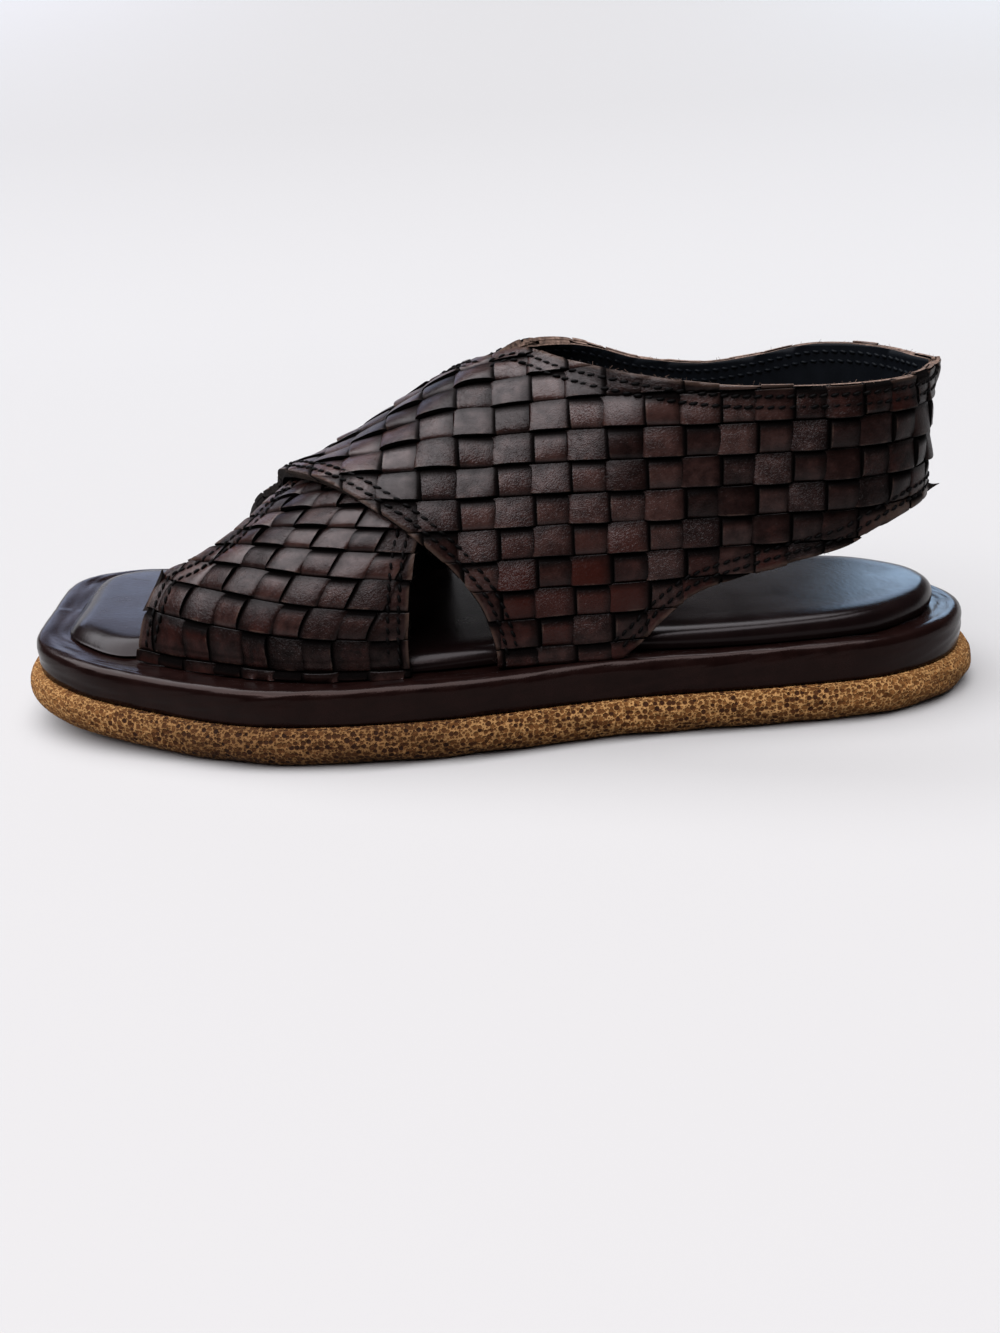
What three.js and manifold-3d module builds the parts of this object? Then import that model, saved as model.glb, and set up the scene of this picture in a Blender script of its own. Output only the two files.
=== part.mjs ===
// Left slingback sandal: two woven leather straps cross over the instep and run back round the heel,
// on a leather-wrapped midsole with a padded insole and a foam outsole.
// Millimetres. Toe towards -X, heel towards +X, outer side of the foot towards -Y, standing on z = 0.
import * as THREE from 'three';
import Module from 'manifold-3d';

const wasm = await Module();
wasm.setup();

// Sole
const outsoleThickness = 11;
const pieceGap = 0.3;
const footGap = 0.6;
const rimAtToe = 20.9;
const rimAtHeel = 22.6;
const soleHalfLength = 140;
const springStart = -50;
const springRise = 6.5;
const insoleRiseAtToe = 3.7;
const insoleRiseAtHeel = 7.4;
const ringPoints = 60;

// Upper
const wall = 2;
const stripRise = 0.7;
const gapDepth = 0.25;
const sunkAtCrossing = 0.6;
const crossingRamp = 14;
const frontEdgeLift = 1.5;
const heelCentreX = 85;
const heelReach = 38.4;
const heelSquareness = 2.3;
const seamHalfWidth = 4.5;
const seamProud = 0.6;
const seamFlare = 2.6;
const seamSlit = 1.2;

// Midsole outline, closed: toe, outer side, heel, inner side. Columns: x, y
const midsoleOutline = [
  [-136.5, -4.2], [-130.4, -29.3], [-116.2, -42.1], [-90.8, -51.8], [-54.2, -60.6],
  [-9.2, -57.2], [40.1, -44.5], [84.4, -37.7], [114.8, -30.3], [133.2, -16.4],
  [139.9, 0.5], [134.1, 18.4], [114.5, 31.1], [80.2, 34], [30.1, 35.5],
  [-20, 40], [-65.4, 46.5], [-101.2, 47.6], [-127.3, 41], [-139.5, 24.9],
];

// Inset of the insole from the midsole outline. Columns: x, outer side, inner side
const insoleInset = [
  [-140, 10.5, 10.5], [-106, 10.5, 10], [-97, 14.2, 12.8], [-80, 13.2, 10.2], [-45, 10, 8],
  [-10, 9.3, 8], [35, 8.2, 8], [58, 5.5, 6], [85, 4.6, 4.6], [110, 5.2, 5.6], [128, 7.4, 8], [140, 9, 9],
];

// Side profiles, from the bottom up. Columns: distance out from the outline, share of the height
const outsoleProfile = [[-2.4, 0], [1.4, 0.1], [3.5, 0.34], [3.9, 0.58], [3.3, 0.82], [2, 1]];
const midsoleProfile = [[0, 0], [0.1, 0.72], [-0.35, 0.88], [-1.1, 0.965], [-2.6, 1]];
const insoleProfile = [[0, 0], [-0.3, 0.45], [-1.3, 0.78], [-3.2, 0.95], [-6, 1]];

// Foot form under the straps. Columns: x, outer y and inner y at the rim, crown y, crown z, squareness
const footSections = [
  [-105, -32.5, 33, 2, 42, 2.5],
  [-85, -41, 38.5, 2, 49.5, 2.5],
  [-65, -47, 39.5, 1, 58, 2.45],
  [-45, -51.5, 37.5, 0, 68, 2.4],
  [-25, -51.5, 34.5, 0, 79, 2.3],
  [-5, -48, 31, 0, 90.7, 2.25],
  [15, -44, 29.5, 0, 100.3, 2.2],
  [35, -41, 29, 0, 114, 2.2],
  [60, -36.5, 30, -1, 175, 2.2],
  [85, -33.5, 31.5, -1, 290, 2.2],
];

// Strap edges. Columns: x, way up the foot form from the rim
const waistFrontEdge = [
  [6.8, footGap], [6.6, 6], [4.4, 14.5], [1.5, 20.5], [-4.5, 28.6], [-11.2, 35.5], [-18, 43],
  [-24.8, 49], [-33, 55.8], [-42.8, 64.8],
];
const outerForefootEdge = [[-57.8, 60], [-66, 43.8], [-77.2, 32.5], [-86.2, 27], [-89.4, 20.5], [-95.2, footGap]];
const innerForefootEdge = [[-58, 56], [-67, 48.3], [-75, 35], [-80, 24.5], [-83, 15], [-87, footGap]];
const forefootRearEdge = [[-16.5, footGap], [-16.4, 11], [-15.6, 21], [-14.2, 31], [-12.8, 36.2]];
const slingLowerEdge = [
  [142.75, 34.5], [126, 35.4], [114.8, 34], [106, 31], [98, 27.2], [76.5, 22], [60.8, 17.5],
  [51.8, 11.5], [45.8, 5.5], [39.8, footGap],
];
// Rear edge over the instep and the collar, which differ a little. Columns: x, way past the crown
const outerInstep = [[-9.5, 36], [-6, 18], [-3, 4], [6, -9]];
const innerInstep = [[-7, 36], [0, 18], [7, 4], [17, -9]];
// Columns: x, way up from the rim
const outerCollar = [[15, 88.8], [25.5, 81.2], [42, 75.2], [60.8, 71.5], [80, 69.8], [112, 69.3], [142.75, 69.5]];
const innerCollar = [[28, 79], [41.5, 72.4], [49, 70], [65.5, 67.4], [82, 68.6], [103, 71.5], [142.75, 69.5]];

// Plain weave: places of the strip edges by number along and up each strap
const quarterColumn = (c) => 7.9 + 9.8 * c - 0.09 * Math.max(c - 3, 0) ** 2;
const quarterRow = (r) => 5.2 + 8 * r;
const forefootColumn = (c) => -88.5 + 8.8 * c;
const forefootRow = (r) => (r < 5 ? 2.8 + 9.7 * r - 0.45 * r * (r - 1) : 42.3 + 6.2 * (r - 5));
const forefootLean = 0.57;
const forefootTilt = 0.08;

const clamp = (value, low, high) => Math.min(Math.max(value, low), high);
const mix = (a, b, k) => a + (b - a) * k;
function smooth(low, high, value) {
  const k = clamp((value - low) / (high - low), 0, 1);
  return k * k * (3 - 2 * k);
}

// Cubic through the rows of a table; the slope at a row is that of its two neighbours.
function curve(table, column, x) {
  const last = table.length - 1;
  const at = clamp(x, table[0][0], table[last][0]);
  let i = 0;
  while (i < last - 1 && at > table[i + 1][0]) i += 1;
  const slope = (k) => {
    const a = table[Math.max(k - 1, 0)];
    const b = table[Math.min(k + 1, last)];
    return (b[column] - a[column]) / (b[0] - a[0]);
  };
  const d = table[i + 1][0] - table[i][0];
  const k = (at - table[i][0]) / d;
  const start = (1 + 2 * k) * (1 - k) ** 2 * table[i][column] + k * (1 - k) ** 2 * d * slope(i);
  const end = k * k * (3 - 2 * k) * table[i + 1][column] + k * k * (k - 1) * d * slope(i + 1);
  return start + end;
}

// The toe end of the sole lifts with the square of the way past the ball.
function toeSpring(x) {
  return springRise * clamp((springStart - x) / (springStart + soleHalfLength), 0, 1.2) ** 2;
}
const alongSole = (x) => (x + soleHalfLength) / (2 * soleHalfLength);
const rimHeight = (x) => mix(rimAtToe, rimAtHeel, alongSole(x)) + toeSpring(x);

function meshOf(name, geometry, color, roughness) {
  const mesh = new THREE.Mesh(geometry, new THREE.MeshStandardMaterial({ color, roughness, metalness: 0 }));
  mesh.name = name;
  return mesh;
}

function geometryOf(vertices, triangles) {
  const geometry = new THREE.BufferGeometry();
  geometry.setAttribute('position', new THREE.Float32BufferAttribute(vertices.flat(), 3));
  geometry.setIndex(triangles.flat());
  geometry.computeVertexNormals();
  return geometry;
}

// Sole pieces: rings of points round the outline, stacked, closed by cross strips at the bottom and top.
const soleCurve = new THREE.CatmullRomCurve3(
  midsoleOutline.map(([x, y]) => new THREE.Vector3(x, y, 0)), true, 'centripetal');
const soleRing = Array.from({ length: ringPoints }, (_, i) => {
  const point = soleCurve.getPoint(i / ringPoints);
  const along = soleCurve.getTangent(i / ringPoints);
  return { x: point.x, y: point.y, outX: along.y, outY: -along.x };
});

function solePiece(profile, inset, bottom, top) {
  const n = ringPoints;
  const vertices = [];
  for (const [out, share] of profile) {
    for (const p of soleRing) {
      const reach = out - inset(p);
      const x = p.x + p.outX * reach;
      vertices.push([x, p.y + p.outY * reach, mix(bottom(x), top(x), share)]);
    }
  }
  const triangles = [];
  for (let level = 0; level < profile.length - 1; level += 1) {
    for (let i = 0; i < n; i += 1) {
      const a = level * n + i;
      const b = level * n + (i + 1) % n;
      triangles.push([a, b, b + n], [a, b + n, a + n]);
    }
  }
  const cap = (base, up) => {
    const add = (a, b, c) => triangles.push(up ? [a, b, c] : [a, c, b]);
    for (let i = 0; i < n / 2; i += 1) {
      const [a, b] = [base + i, base + i + 1];
      const [c, d] = [base + n - i - 1, base + (n - i) % n];
      if (b !== c) add(a, b, c);
      if (i > 0) add(a, c, d);
    }
  };
  cap(0, false);
  cap((profile.length - 1) * n, true);
  return geometryOf(vertices, triangles);
}

const flush = () => 0;
const insoleEdge = (p) => curve(insoleInset, p.y < 0 ? 1 : 2, p.x);
const insoleTop = (x) => rimHeight(x) + mix(insoleRiseAtToe, insoleRiseAtHeel, alongSole(x));

// Foot form. Place s runs along the outer side as x, round the heel by arc length, and back along the
// inner side; v runs up the section from the rim and, past the crown, down the other side.
const heelSteps = 360;
const heelRadius = (angle) => {
  const [, outerY, innerY, crownY] = footSections[footSections.length - 1];
  const side = angle < 0 ? crownY - outerY : innerY - crownY;
  const sum = (Math.cos(angle) / heelReach) ** heelSquareness + (Math.abs(Math.sin(angle)) / side) ** heelSquareness;
  return sum ** (-1 / heelSquareness);
};
const heelAngle = (i) => Math.PI * (i / heelSteps - 0.5);
const heelArc = [0];
for (let i = 1; i <= heelSteps; i += 1) {
  const [a, b] = [heelAngle(i - 1), heelAngle(i)];
  const [ra, rb] = [heelRadius(a), heelRadius(b)];
  heelArc.push(heelArc[i - 1] + Math.hypot(rb * Math.cos(b) - ra * Math.cos(a), rb * Math.sin(b) - ra * Math.sin(a)));
}
const heelBack = heelCentreX + heelArc[heelSteps / 2];
const heelEnd = heelCentreX + heelArc[heelSteps];
const innerPlace = (x) => heelEnd + heelCentreX - x;

function sectionAt(s) {
  const straight = s <= heelCentreX || s >= heelEnd;
  const outer = s <= heelCentreX;
  const x = straight ? (outer ? s : innerPlace(s)) : heelCentreX;
  const crownY = curve(footSections, 3, x);
  let direction = [0, outer ? -1 : 1];
  let reach = outer ? crownY - curve(footSections, 1, x) : curve(footSections, 2, x) - crownY;
  if (!straight) {
    let i = 1;
    while (heelArc[i] < s - heelCentreX) i += 1;
    const k = (s - heelCentreX - heelArc[i - 1]) / (heelArc[i] - heelArc[i - 1]);
    const angle = mix(heelAngle(i - 1), heelAngle(i), k);
    direction = [Math.cos(angle), Math.sin(angle)];
    reach = heelRadius(angle);
  }
  const base = rimHeight(x + direction[0] * reach);
  return { x, crownY, direction, reach, base, rise: curve(footSections, 4, x) - base, power: 2 / curve(footSections, 5, x) };
}

// One half section as a polyline from the rim to the crown, with the way along it.
const profileSteps = 96;
const profiles = new Map();
function profileAt(s) {
  const key = Math.round(s * 100);
  if (profiles.has(key)) return profiles.get(key);
  const section = sectionAt(key / 100);
  const points = [];
  for (let i = 0; i <= profileSteps; i += 1) {
    const angle = (i / profileSteps) * Math.PI / 2;
    const out = section.reach * Math.max(Math.cos(angle), 0) ** section.power;
    const z = section.base + section.rise * Math.sin(angle) ** section.power;
    const way = i ? points[i - 1].way + Math.hypot(out - points[i - 1].out, z - points[i - 1].z) : 0;
    points.push({ out, z, way });
  }
  const profile = { ...section, points, length: points[profileSteps].way };
  profiles.set(key, profile);
  return profile;
}
const halfLength = (s) => profileAt(s).length;

function formPoint(s, v) {
  let profile = profileAt(s);
  let way = v;
  if (v > profile.length && (s <= heelCentreX || s >= heelEnd)) {
    const near = profile.length;
    profile = profileAt(innerPlace(s));
    way = profile.length - (v - near);
  }
  const { points } = profile;
  let i = 1;
  while (i < profileSteps && points[i].way < way) i += 1;
  const k = (way - points[i - 1].way) / (points[i].way - points[i - 1].way);
  const out = mix(points[i - 1].out, points[i].out, k);
  const z = mix(points[i - 1].z, points[i].z, k);
  return new THREE.Vector3(
    profile.x + profile.direction[0] * out, profile.crownY + profile.direction[1] * out, z);
}

// The back seam stands out from the heel, most of all at its lower tip and at the collar.
function flareAt(s, v) {
  const near = Math.exp(-(((s - heelBack) / 6) ** 2));
  return seamFlare * near * (1.2 * (1 - smooth(32, 46, v)) + 0.7 * smooth(58, 70, v));
}

function formOffset(s, v, h) {
  const step = 0.4;
  const along = formPoint(s + step, v).sub(formPoint(s - step, v));
  const up = formPoint(s, v + step).sub(formPoint(s, v - step));
  const normal = along.cross(up).normalize();
  return formPoint(s, v).addScaledVector(normal, h + flareAt(s, v));
}

// Shared flat plane of both straps: x along the foot, and the way past the crown towards the inner side.
const isOuter = (s) => s <= heelBack;
function planeOf(s, v) {
  const x = isOuter(s) ? s : innerPlace(s);
  return isOuter(s) ? [x, v - halfLength(s)] : [x, halfLength(s) - v];
}

// Distance to a closed outline, positive inside.
function insideDistance(outline, [px, py]) {
  let inside = false;
  let nearest = Infinity;
  outline.forEach(([ax, ay], i) => {
    const [bx, by] = outline[(i + 1) % outline.length];
    if ((ay > py) !== (by > py) && px < ax + ((py - ay) / (by - ay)) * (bx - ax)) inside = !inside;
    const k = clamp(((px - ax) * (bx - ax) + (py - ay) * (by - ay)) / ((bx - ax) ** 2 + (by - ay) ** 2), 0, 1);
    nearest = Math.min(nearest, Math.hypot(px - mix(ax, bx, k), py - mix(ay, by, k)));
  });
  return inside ? nearest : -nearest;
}

// Curve through edge points, sampled about every 6 mm, without its last point.
function edge(points) {
  const spline = new THREE.SplineCurve(points.map(([s, v]) => new THREE.Vector2(s, v)));
  const count = Math.max(Math.ceil(spline.getLength() / 6), 2);
  return spline.getSpacedPoints(count).slice(0, -1).map((p) => [p.x, p.y]);
}

// Outlines of one strap in the chart of the side where it is the quarter: the whole strap, the quarter
// with a tongue past the crown, and the forefoot part in the chart of its own side.
function strapOutlines(quarterSide, forefootFrontEdge, instep, collar) {
  const near = quarterSide === 'outer' ? (x) => x : innerPlace;
  const far = quarterSide === 'outer' ? innerPlace : (x) => x;
  const nearPoint = ([x, up]) => [near(x), up];
  const pastCrown = ([x, way]) => [near(x), halfLength(near(x)) + way];
  const farPoint = ([x, up]) => [near(x), halfLength(near(x)) + halfLength(far(x)) - up];
  const back = quarterSide === 'outer' ? heelBack - seamSlit : heelBack + seamSlit;
  const atBack = ([x, up]) => (x > 142 ? [back, up] : nearPoint([x, up]));
  const row = (from, to, level) => edge([0, 0.25, 0.5, 0.75, 1].map((k) => level([mix(from, to, k), footGap])));
  const corner = instep[instep.length - 1];
  const rearEdge = [...forefootRearEdge.map(farPoint), ...instep.map(pastCrown)];
  const sling = [
    ...edge([pastCrown(corner), ...collar.map(atBack)]),
    ...edge([collar[collar.length - 1], slingLowerEdge[0]].map(atBack)),
    ...edge(slingLowerEdge.map(atBack)),
    ...row(slingLowerEdge[slingLowerEdge.length - 1][0], waistFrontEdge[0][0], nearPoint),
  ];
  const whole = [
    ...edge([...waistFrontEdge.map(nearPoint), ...forefootFrontEdge.map(farPoint)]),
    ...row(forefootFrontEdge[forefootFrontEdge.length - 1][0], forefootRearEdge[0][0], farPoint),
    ...edge(rearEdge),
    ...sling,
  ];
  const tongue = 6;
  const [frontCrown, rearCrown] = [-50.3, instep[2][0]];
  const crownLine = (way) => [0, 0.25, 0.5, 0.75, 1].map((k) => [mix(frontCrown, rearCrown, k), way]);
  const quarter = [
    ...edge([...waistFrontEdge.map(nearPoint), pastCrown([frontCrown, tongue])]),
    ...edge(crownLine(tongue).map(pastCrown)),
    ...edge([instep[2], corner].map(pastCrown)),
    ...sling,
  ];
  const farUp = ([x, up]) => [far(x), up];
  const farCrown = ([x, way]) => [far(x), halfLength(far(x)) - way];
  const forefoot = [
    ...edge([farCrown([frontCrown, 0]), ...forefootFrontEdge.map(farUp)]),
    ...row(forefootFrontEdge[forefootFrontEdge.length - 1][0], forefootRearEdge[0][0], farUp),
    ...edge([...forefootRearEdge.map(farUp), ...instep.slice(0, 3).map(farCrown)]),
    ...edge(crownLine(0).reverse().map(farCrown)),
  ];
  return { whole, quarter, forefoot };
}

const overStrap = strapOutlines('outer', innerForefootEdge, outerInstep, outerCollar);
const underStrap = strapOutlines('inner', outerForefootEdge, innerInstep, innerCollar);
const overPlane = overStrap.whole.map(([s, v]) => planeOf(s, v));
const underPlane = underStrap.whole.map(([s, v]) => planeOf(s, v));

// Solids in the chart are bowed a little, so that no large face is flat and every point of it is kept.
const bow = (s, v) => 2e-4 * ((s - 60) ** 2 + (v - 60) ** 2);

function solidOf(vertices, triangles) {
  const mesh = new wasm.Mesh({
    numProp: 3, vertProperties: new Float32Array(vertices.flat()), triVerts: new Uint32Array(triangles.flat()),
  });
  mesh.merge();
  return new wasm.Manifold(mesh);
}

// A prism through the wall that keeps what lies inside the outline.
function cutterOf(outline) {
  let points = outline.map(([s, v]) => new THREE.Vector2(s, v));
  if (THREE.ShapeUtils.isClockWise(points)) points = points.reverse();
  const n = points.length;
  const vertices = [];
  for (const level of [-20, 60]) points.forEach((p) => vertices.push([p.x, p.y, level]));
  const triangles = [];
  for (const [a, b, c] of THREE.ShapeUtils.triangulateShape(points, [])) {
    triangles.push([c, b, a], [a + n, b + n, c + n]);
  }
  for (let i = 0; i < n; i += 1) {
    const j = (i + 1) % n;
    triangles.push([i, j, j + n], [i, j + n, i + n]);
  }
  return solidOf(vertices, triangles);
}

// Woven wall in the chart: each cell is a raised plateau, long across the strip that lies on top, over a
// dip at the corners. The inside face is smooth. Columns may run against s, so the turn is worked out.
function wovenSheet(place, columns, rows, rise, floor) {
  const vertices = [];
  const triangles = [];
  const corner = (c, r) => (c - columns[0]) * (rows[1] - rows[0] + 1) + (r - rows[0]);
  const put = (c, r, height) => {
    const [s, v] = place(c, r);
    vertices.push([s, v, height(s, v) + bow(s, v)]);
    return vertices.length - 1;
  };
  const corners = (height) => {
    const base = vertices.length;
    for (let c = columns[0]; c <= columns[1]; c += 1) {
      for (let r = rows[0]; r <= rows[1]; r += 1) put(c, r, height);
    }
    return (c, r) => base + corner(c, r);
  };
  const low = corners(floor);
  const high = corners((s, v) => wall - gapDepth * Math.min(rise(s, v), 1));
  const [a, b] = [place(columns[0], rows[0]), place(columns[0] + 1, rows[0])];
  const add = (...loop) => {
    const turned = b[0] < a[0] ? loop.reverse() : loop;
    for (let i = 1; i < turned.length - 1; i += 1) triangles.push([turned[0], turned[i], turned[i + 1]]);
  };
  for (let c = columns[0]; c < columns[1]; c += 1) {
    for (let r = rows[0]; r < rows[1]; r += 1) {
      const upright = (c + r) % 2 !== 0;
      const [dc, dr] = upright ? [0.1, 0.24] : [0.24, 0.1];
      const top = (s, v) => wall + stripRise * rise(s, v);
      const inner = [[dc, dr], [1 - dc, dr], [1 - dc, 1 - dr], [dc, 1 - dr]].map(([i, j]) => put(c + i, r + j, top));
      const outer = [high(c, r), high(c + 1, r), high(c + 1, r + 1), high(c, r + 1)];
      add(...inner);
      for (let k = 0; k < 4; k += 1) {
        const m = (k + 1) % 4;
        add(outer[k], outer[m], inner[m], inner[k]);
      }
      add(low(c, r + 1), low(c + 1, r + 1), low(c + 1, r), low(c, r));
    }
  }
  const wallStrip = (points) => {
    for (let i = 0; i < points.length - 1; i += 1) {
      add(low(...points[i]), low(...points[i + 1]), high(...points[i + 1]), high(...points[i]));
    }
  };
  const span = (from, to) => Array.from({ length: Math.abs(to - from) + 1 }, (_, i) => from + Math.sign(to - from) * i);
  wallStrip(span(columns[0], columns[1]).map((c) => [c, rows[0]]));
  wallStrip(span(rows[0], rows[1]).map((r) => [columns[1], r]));
  wallStrip(span(columns[1], columns[0]).map((c) => [c, rows[1]]));
  wallStrip(span(rows[1], rows[0]).map((r) => [columns[0], r]));
  return solidOf(vertices, triangles);
}

// Brings a trimmed wall from the chart onto the foot form.
function ontoForm(solid, lift) {
  const { vertProperties, triVerts, numProp } = solid.getMesh();
  const vertices = [];
  for (let i = 0; i < vertProperties.length; i += numProp) {
    const [s, v, bowed] = vertProperties.slice(i, i + 3);
    const p = formOffset(s, v, bowed - bow(s, v) + lift(s, v));
    vertices.push([p.x, p.y, p.z]);
  }
  const triangles = [];
  for (let i = 0; i < triVerts.length; i += 3) triangles.push([...triVerts.slice(i, i + 3)]);
  return solidOf(vertices, triangles);
}

// Columns may fall between whole numbers, inside a cell.
function between(step, at) {
  const i = Math.floor(at);
  return mix(step(i), step(i + 1), at - i);
}
function quarterPlace(near) {
  return (c, r) => [near(between(quarterColumn, c)), between(quarterRow, r)];
}
function forefootPlace(c, r) {
  const row = between(forefootRow, r);
  const past = row - 14;
  const lean = forefootLean * (past < -5 ? 0 : past > 5 ? past : (past + 5) ** 2 / 20);
  const s = between(forefootColumn, c) + lean;
  return [s, row - forefootTilt * (s + 60) * clamp(row / 20, 0, 1)];
}

const edgeFade = (outline, p) => smooth(0.5, 3.5, insideDistance(outline, p));
const overRise = (s, v) => edgeFade(overPlane, planeOf(s, v));
const underRise = (s, v) => {
  const p = planeOf(s, v);
  return edgeFade(underPlane, p) * (1 - smooth(5, 12, insideDistance(overPlane, p)));
};
// Over the crossing the upper strap rides on the lower one, and its front edge stands off a little.
const overLift = (s, v) => {
  const p = planeOf(s, v);
  const riding = 1 - smooth(0, crossingRamp, -insideDistance(underPlane, p));
  const atFrontEdge = 1 - smooth(0, 9, insideDistance(overPlane, p));
  const byTheVamp = smooth(-75, -62, p[0]) * (1 - smooth(-20, -8, p[0])) * smooth(-60, -45, p[1]);
  return riding * (wall - sunkAtCrossing + frontEdgeLift * atFrontEdge * byTheVamp);
};
const noLift = () => 0;
// The quarter's tongue is a little thicker than the forefoot part that it takes in.
const tongueSwell = (s, v) => 0.15 * (1 - smooth(9, 16, Math.abs(planeOf(s, v)[1])));

function upperGeometry() {
  const outerSide = quarterPlace((x) => x);
  const innerSide = quarterPlace(innerPlace);
  const over = wovenSheet(outerSide, [-12, 17], [-2, 22], overRise, noLift).intersect(cutterOf(overStrap.whole));
  const quarter = wovenSheet(innerSide, [-8, 17], [-2, 16], underRise, (s, v) => -tongueSwell(s, v))
    .intersect(cutterOf(underStrap.quarter));
  const forefoot = wovenSheet(forefootPlace, [-10, 11], [-1, 15], underRise, noLift)
    .intersect(cutterOf(underStrap.forefoot));
  const seamOutline = [
    [heelBack - seamHalfWidth, 36.5], [heelBack, 33], [heelBack + seamHalfWidth, 36.5],
    [heelBack + seamHalfWidth, 69.6], [heelBack, 70.4], [heelBack - seamHalfWidth, 69.6],
  ];
  const seamPlace = (c, r) => [heelBack + 3 * c, 26 + 6 * r];
  const seam = wovenSheet(seamPlace, [-2, 2], [0, 8], () => 0, () => -pieceGap).intersect(cutterOf(seamOutline));
  const joined = ontoForm(over, overLift)
    .add(ontoForm(forefoot, noLift))
    .add(ontoForm(quarter, (s, v) => tongueSwell(s, v)))
    .add(ontoForm(seam, () => seamProud));
  // Small pockets left between the two walls at the crossing are filled.
  return joined.decompose().sort((a, b) => b.volume() - a.volume())[0];
}

function geometryFrom(solid) {
  const { vertProperties, triVerts, numProp } = solid.getMesh();
  const vertices = [];
  for (let i = 0; i < vertProperties.length; i += numProp) vertices.push([...vertProperties.slice(i, i + 3)]);
  const triangles = [];
  for (let i = 0; i < triVerts.length; i += 3) triangles.push([...triVerts.slice(i, i + 3)]);
  return geometryOf(vertices, triangles);
}

const outsole = solePiece(outsoleProfile, flush, toeSpring, (x) => outsoleThickness + toeSpring(x));
const midsole = solePiece(midsoleProfile, flush, (x) => outsoleThickness + pieceGap + toeSpring(x), rimHeight);
const insole = solePiece(insoleProfile, insoleEdge, (x) => rimHeight(x) + pieceGap, insoleTop);

const sandal = new THREE.Group();
sandal.add(
  meshOf('outsole', outsole, 0xb08a50, 0.95),
  meshOf('midsole', midsole, 0x35221d, 0.5),
  meshOf('insole', insole, 0x2c1f1c, 0.45),
  meshOf('upper', geometryFrom(upperGeometry()), 0x3b2722, 0.5),
);
// The origin is under the middle of the sole.
const middle = new THREE.Box3().setFromObject(sandal).getCenter(new THREE.Vector3());
sandal.position.set(-middle.x, -middle.y, 0);

export default sandal;
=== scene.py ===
import bpy
import numpy as np
from mathutils import Matrix


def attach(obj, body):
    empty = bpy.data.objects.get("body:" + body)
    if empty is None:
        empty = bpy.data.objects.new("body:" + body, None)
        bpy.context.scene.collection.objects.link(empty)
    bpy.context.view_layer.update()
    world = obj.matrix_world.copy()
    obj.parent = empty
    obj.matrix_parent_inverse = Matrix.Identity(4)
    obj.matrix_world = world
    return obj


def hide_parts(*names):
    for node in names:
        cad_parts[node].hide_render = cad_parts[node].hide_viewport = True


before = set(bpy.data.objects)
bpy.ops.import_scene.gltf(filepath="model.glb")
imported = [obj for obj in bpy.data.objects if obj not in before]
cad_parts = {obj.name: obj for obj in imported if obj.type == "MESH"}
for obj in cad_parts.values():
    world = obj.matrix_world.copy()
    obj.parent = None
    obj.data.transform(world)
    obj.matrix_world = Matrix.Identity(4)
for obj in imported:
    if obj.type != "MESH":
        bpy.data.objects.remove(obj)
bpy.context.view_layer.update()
mm = 0.001


def mix(a, b, k):  # a at k = 0, b at k = 1, a straight line between them
    return a + (b - a) * k


def smooth(low, high, x):  # 0 below low, 1 above high, an S between them
    k = np.clip((x - low) / (high - low), 0, 1)
    return k * k * (3 - 2 * k)


def unit(vectors):  # each vector over its own length
    return vectors / np.linalg.norm(vectors, axis=-1, keepdims=True)


def leftOf(run):  # a direction in a plane after a quarter turn to the left
    return np.stack([-run[..., 1], run[..., 0]], -1)


def tableCurve(table, column, x):  # cubic through the rows; a row's slope is that of its two neighbours
    rows = np.asarray(table, float)
    xs, ys = rows[:, 0], rows[:, column]
    order = np.arange(len(xs))
    before, after = np.maximum(order - 1, 0), np.minimum(order + 1, len(xs) - 1)
    slope = (ys[after] - ys[before]) / (xs[after] - xs[before])
    at = np.clip(x, xs[0], xs[-1])
    i = np.searchsorted(xs[1:-1], at)
    d = xs[i + 1] - xs[i]
    k = (at - xs[i]) / d
    start = (1 + 2 * k) * (1 - k) ** 2 * ys[i] + k * (1 - k) ** 2 * d * slope[i]
    return start + k * k * (3 - 2 * k) * ys[i + 1] + k * k * (k - 1) * d * slope[i + 1]


def wander(x, size, seed):  # sum of six sines of unlike lengths around size, about -1 to 1
    waves = np.random.RandomState(seed)
    rates = 2 * np.pi / (size * (0.6 + 1.6 * waves.rand(6)))
    turns = 2 * np.pi * waves.rand(6)
    return np.sin(np.asarray(x)[..., None] * rates + turns).sum(-1) / 3


def alongLine(points):  # running length of a polyline
    return np.concatenate([[0], np.cumsum(np.linalg.norm(np.diff(points, axis=0), axis=1))])


def pointsAt(at, way, points):  # points of a polyline at places on its running length
    return np.stack([np.interp(at, way, column) for column in points.T], -1)


def evenly(points, spacing):  # the same polyline with points a spacing apart
    way = alongLine(points)
    count = max(int(np.ceil(way[-1] / spacing)), 2)
    return pointsAt(np.linspace(0, way[-1], count + 1), way, points)


def splinePoints(points, perSpan):  # uniform Catmull-Rom with its end points doubled
    padded = np.vstack([points[:1], points, points[-1:]])
    p0, p1, p2, p3 = padded[:-3, None], padded[1:-2, None], padded[2:-1, None], padded[3:, None]
    t = np.arange(perSpan)[None, :, None] / perSpan
    v0, v1 = (p2 - p0) / 2, (p3 - p1) / 2
    body = (2 * p1 - 2 * p2 + v0 + v1) * t**3 + (-3 * p1 + 3 * p2 - 2 * v0 - v1) * t**2 + v0 * t + p1
    return np.vstack([body.reshape(-1, points.shape[1]), points[-1:]])


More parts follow.
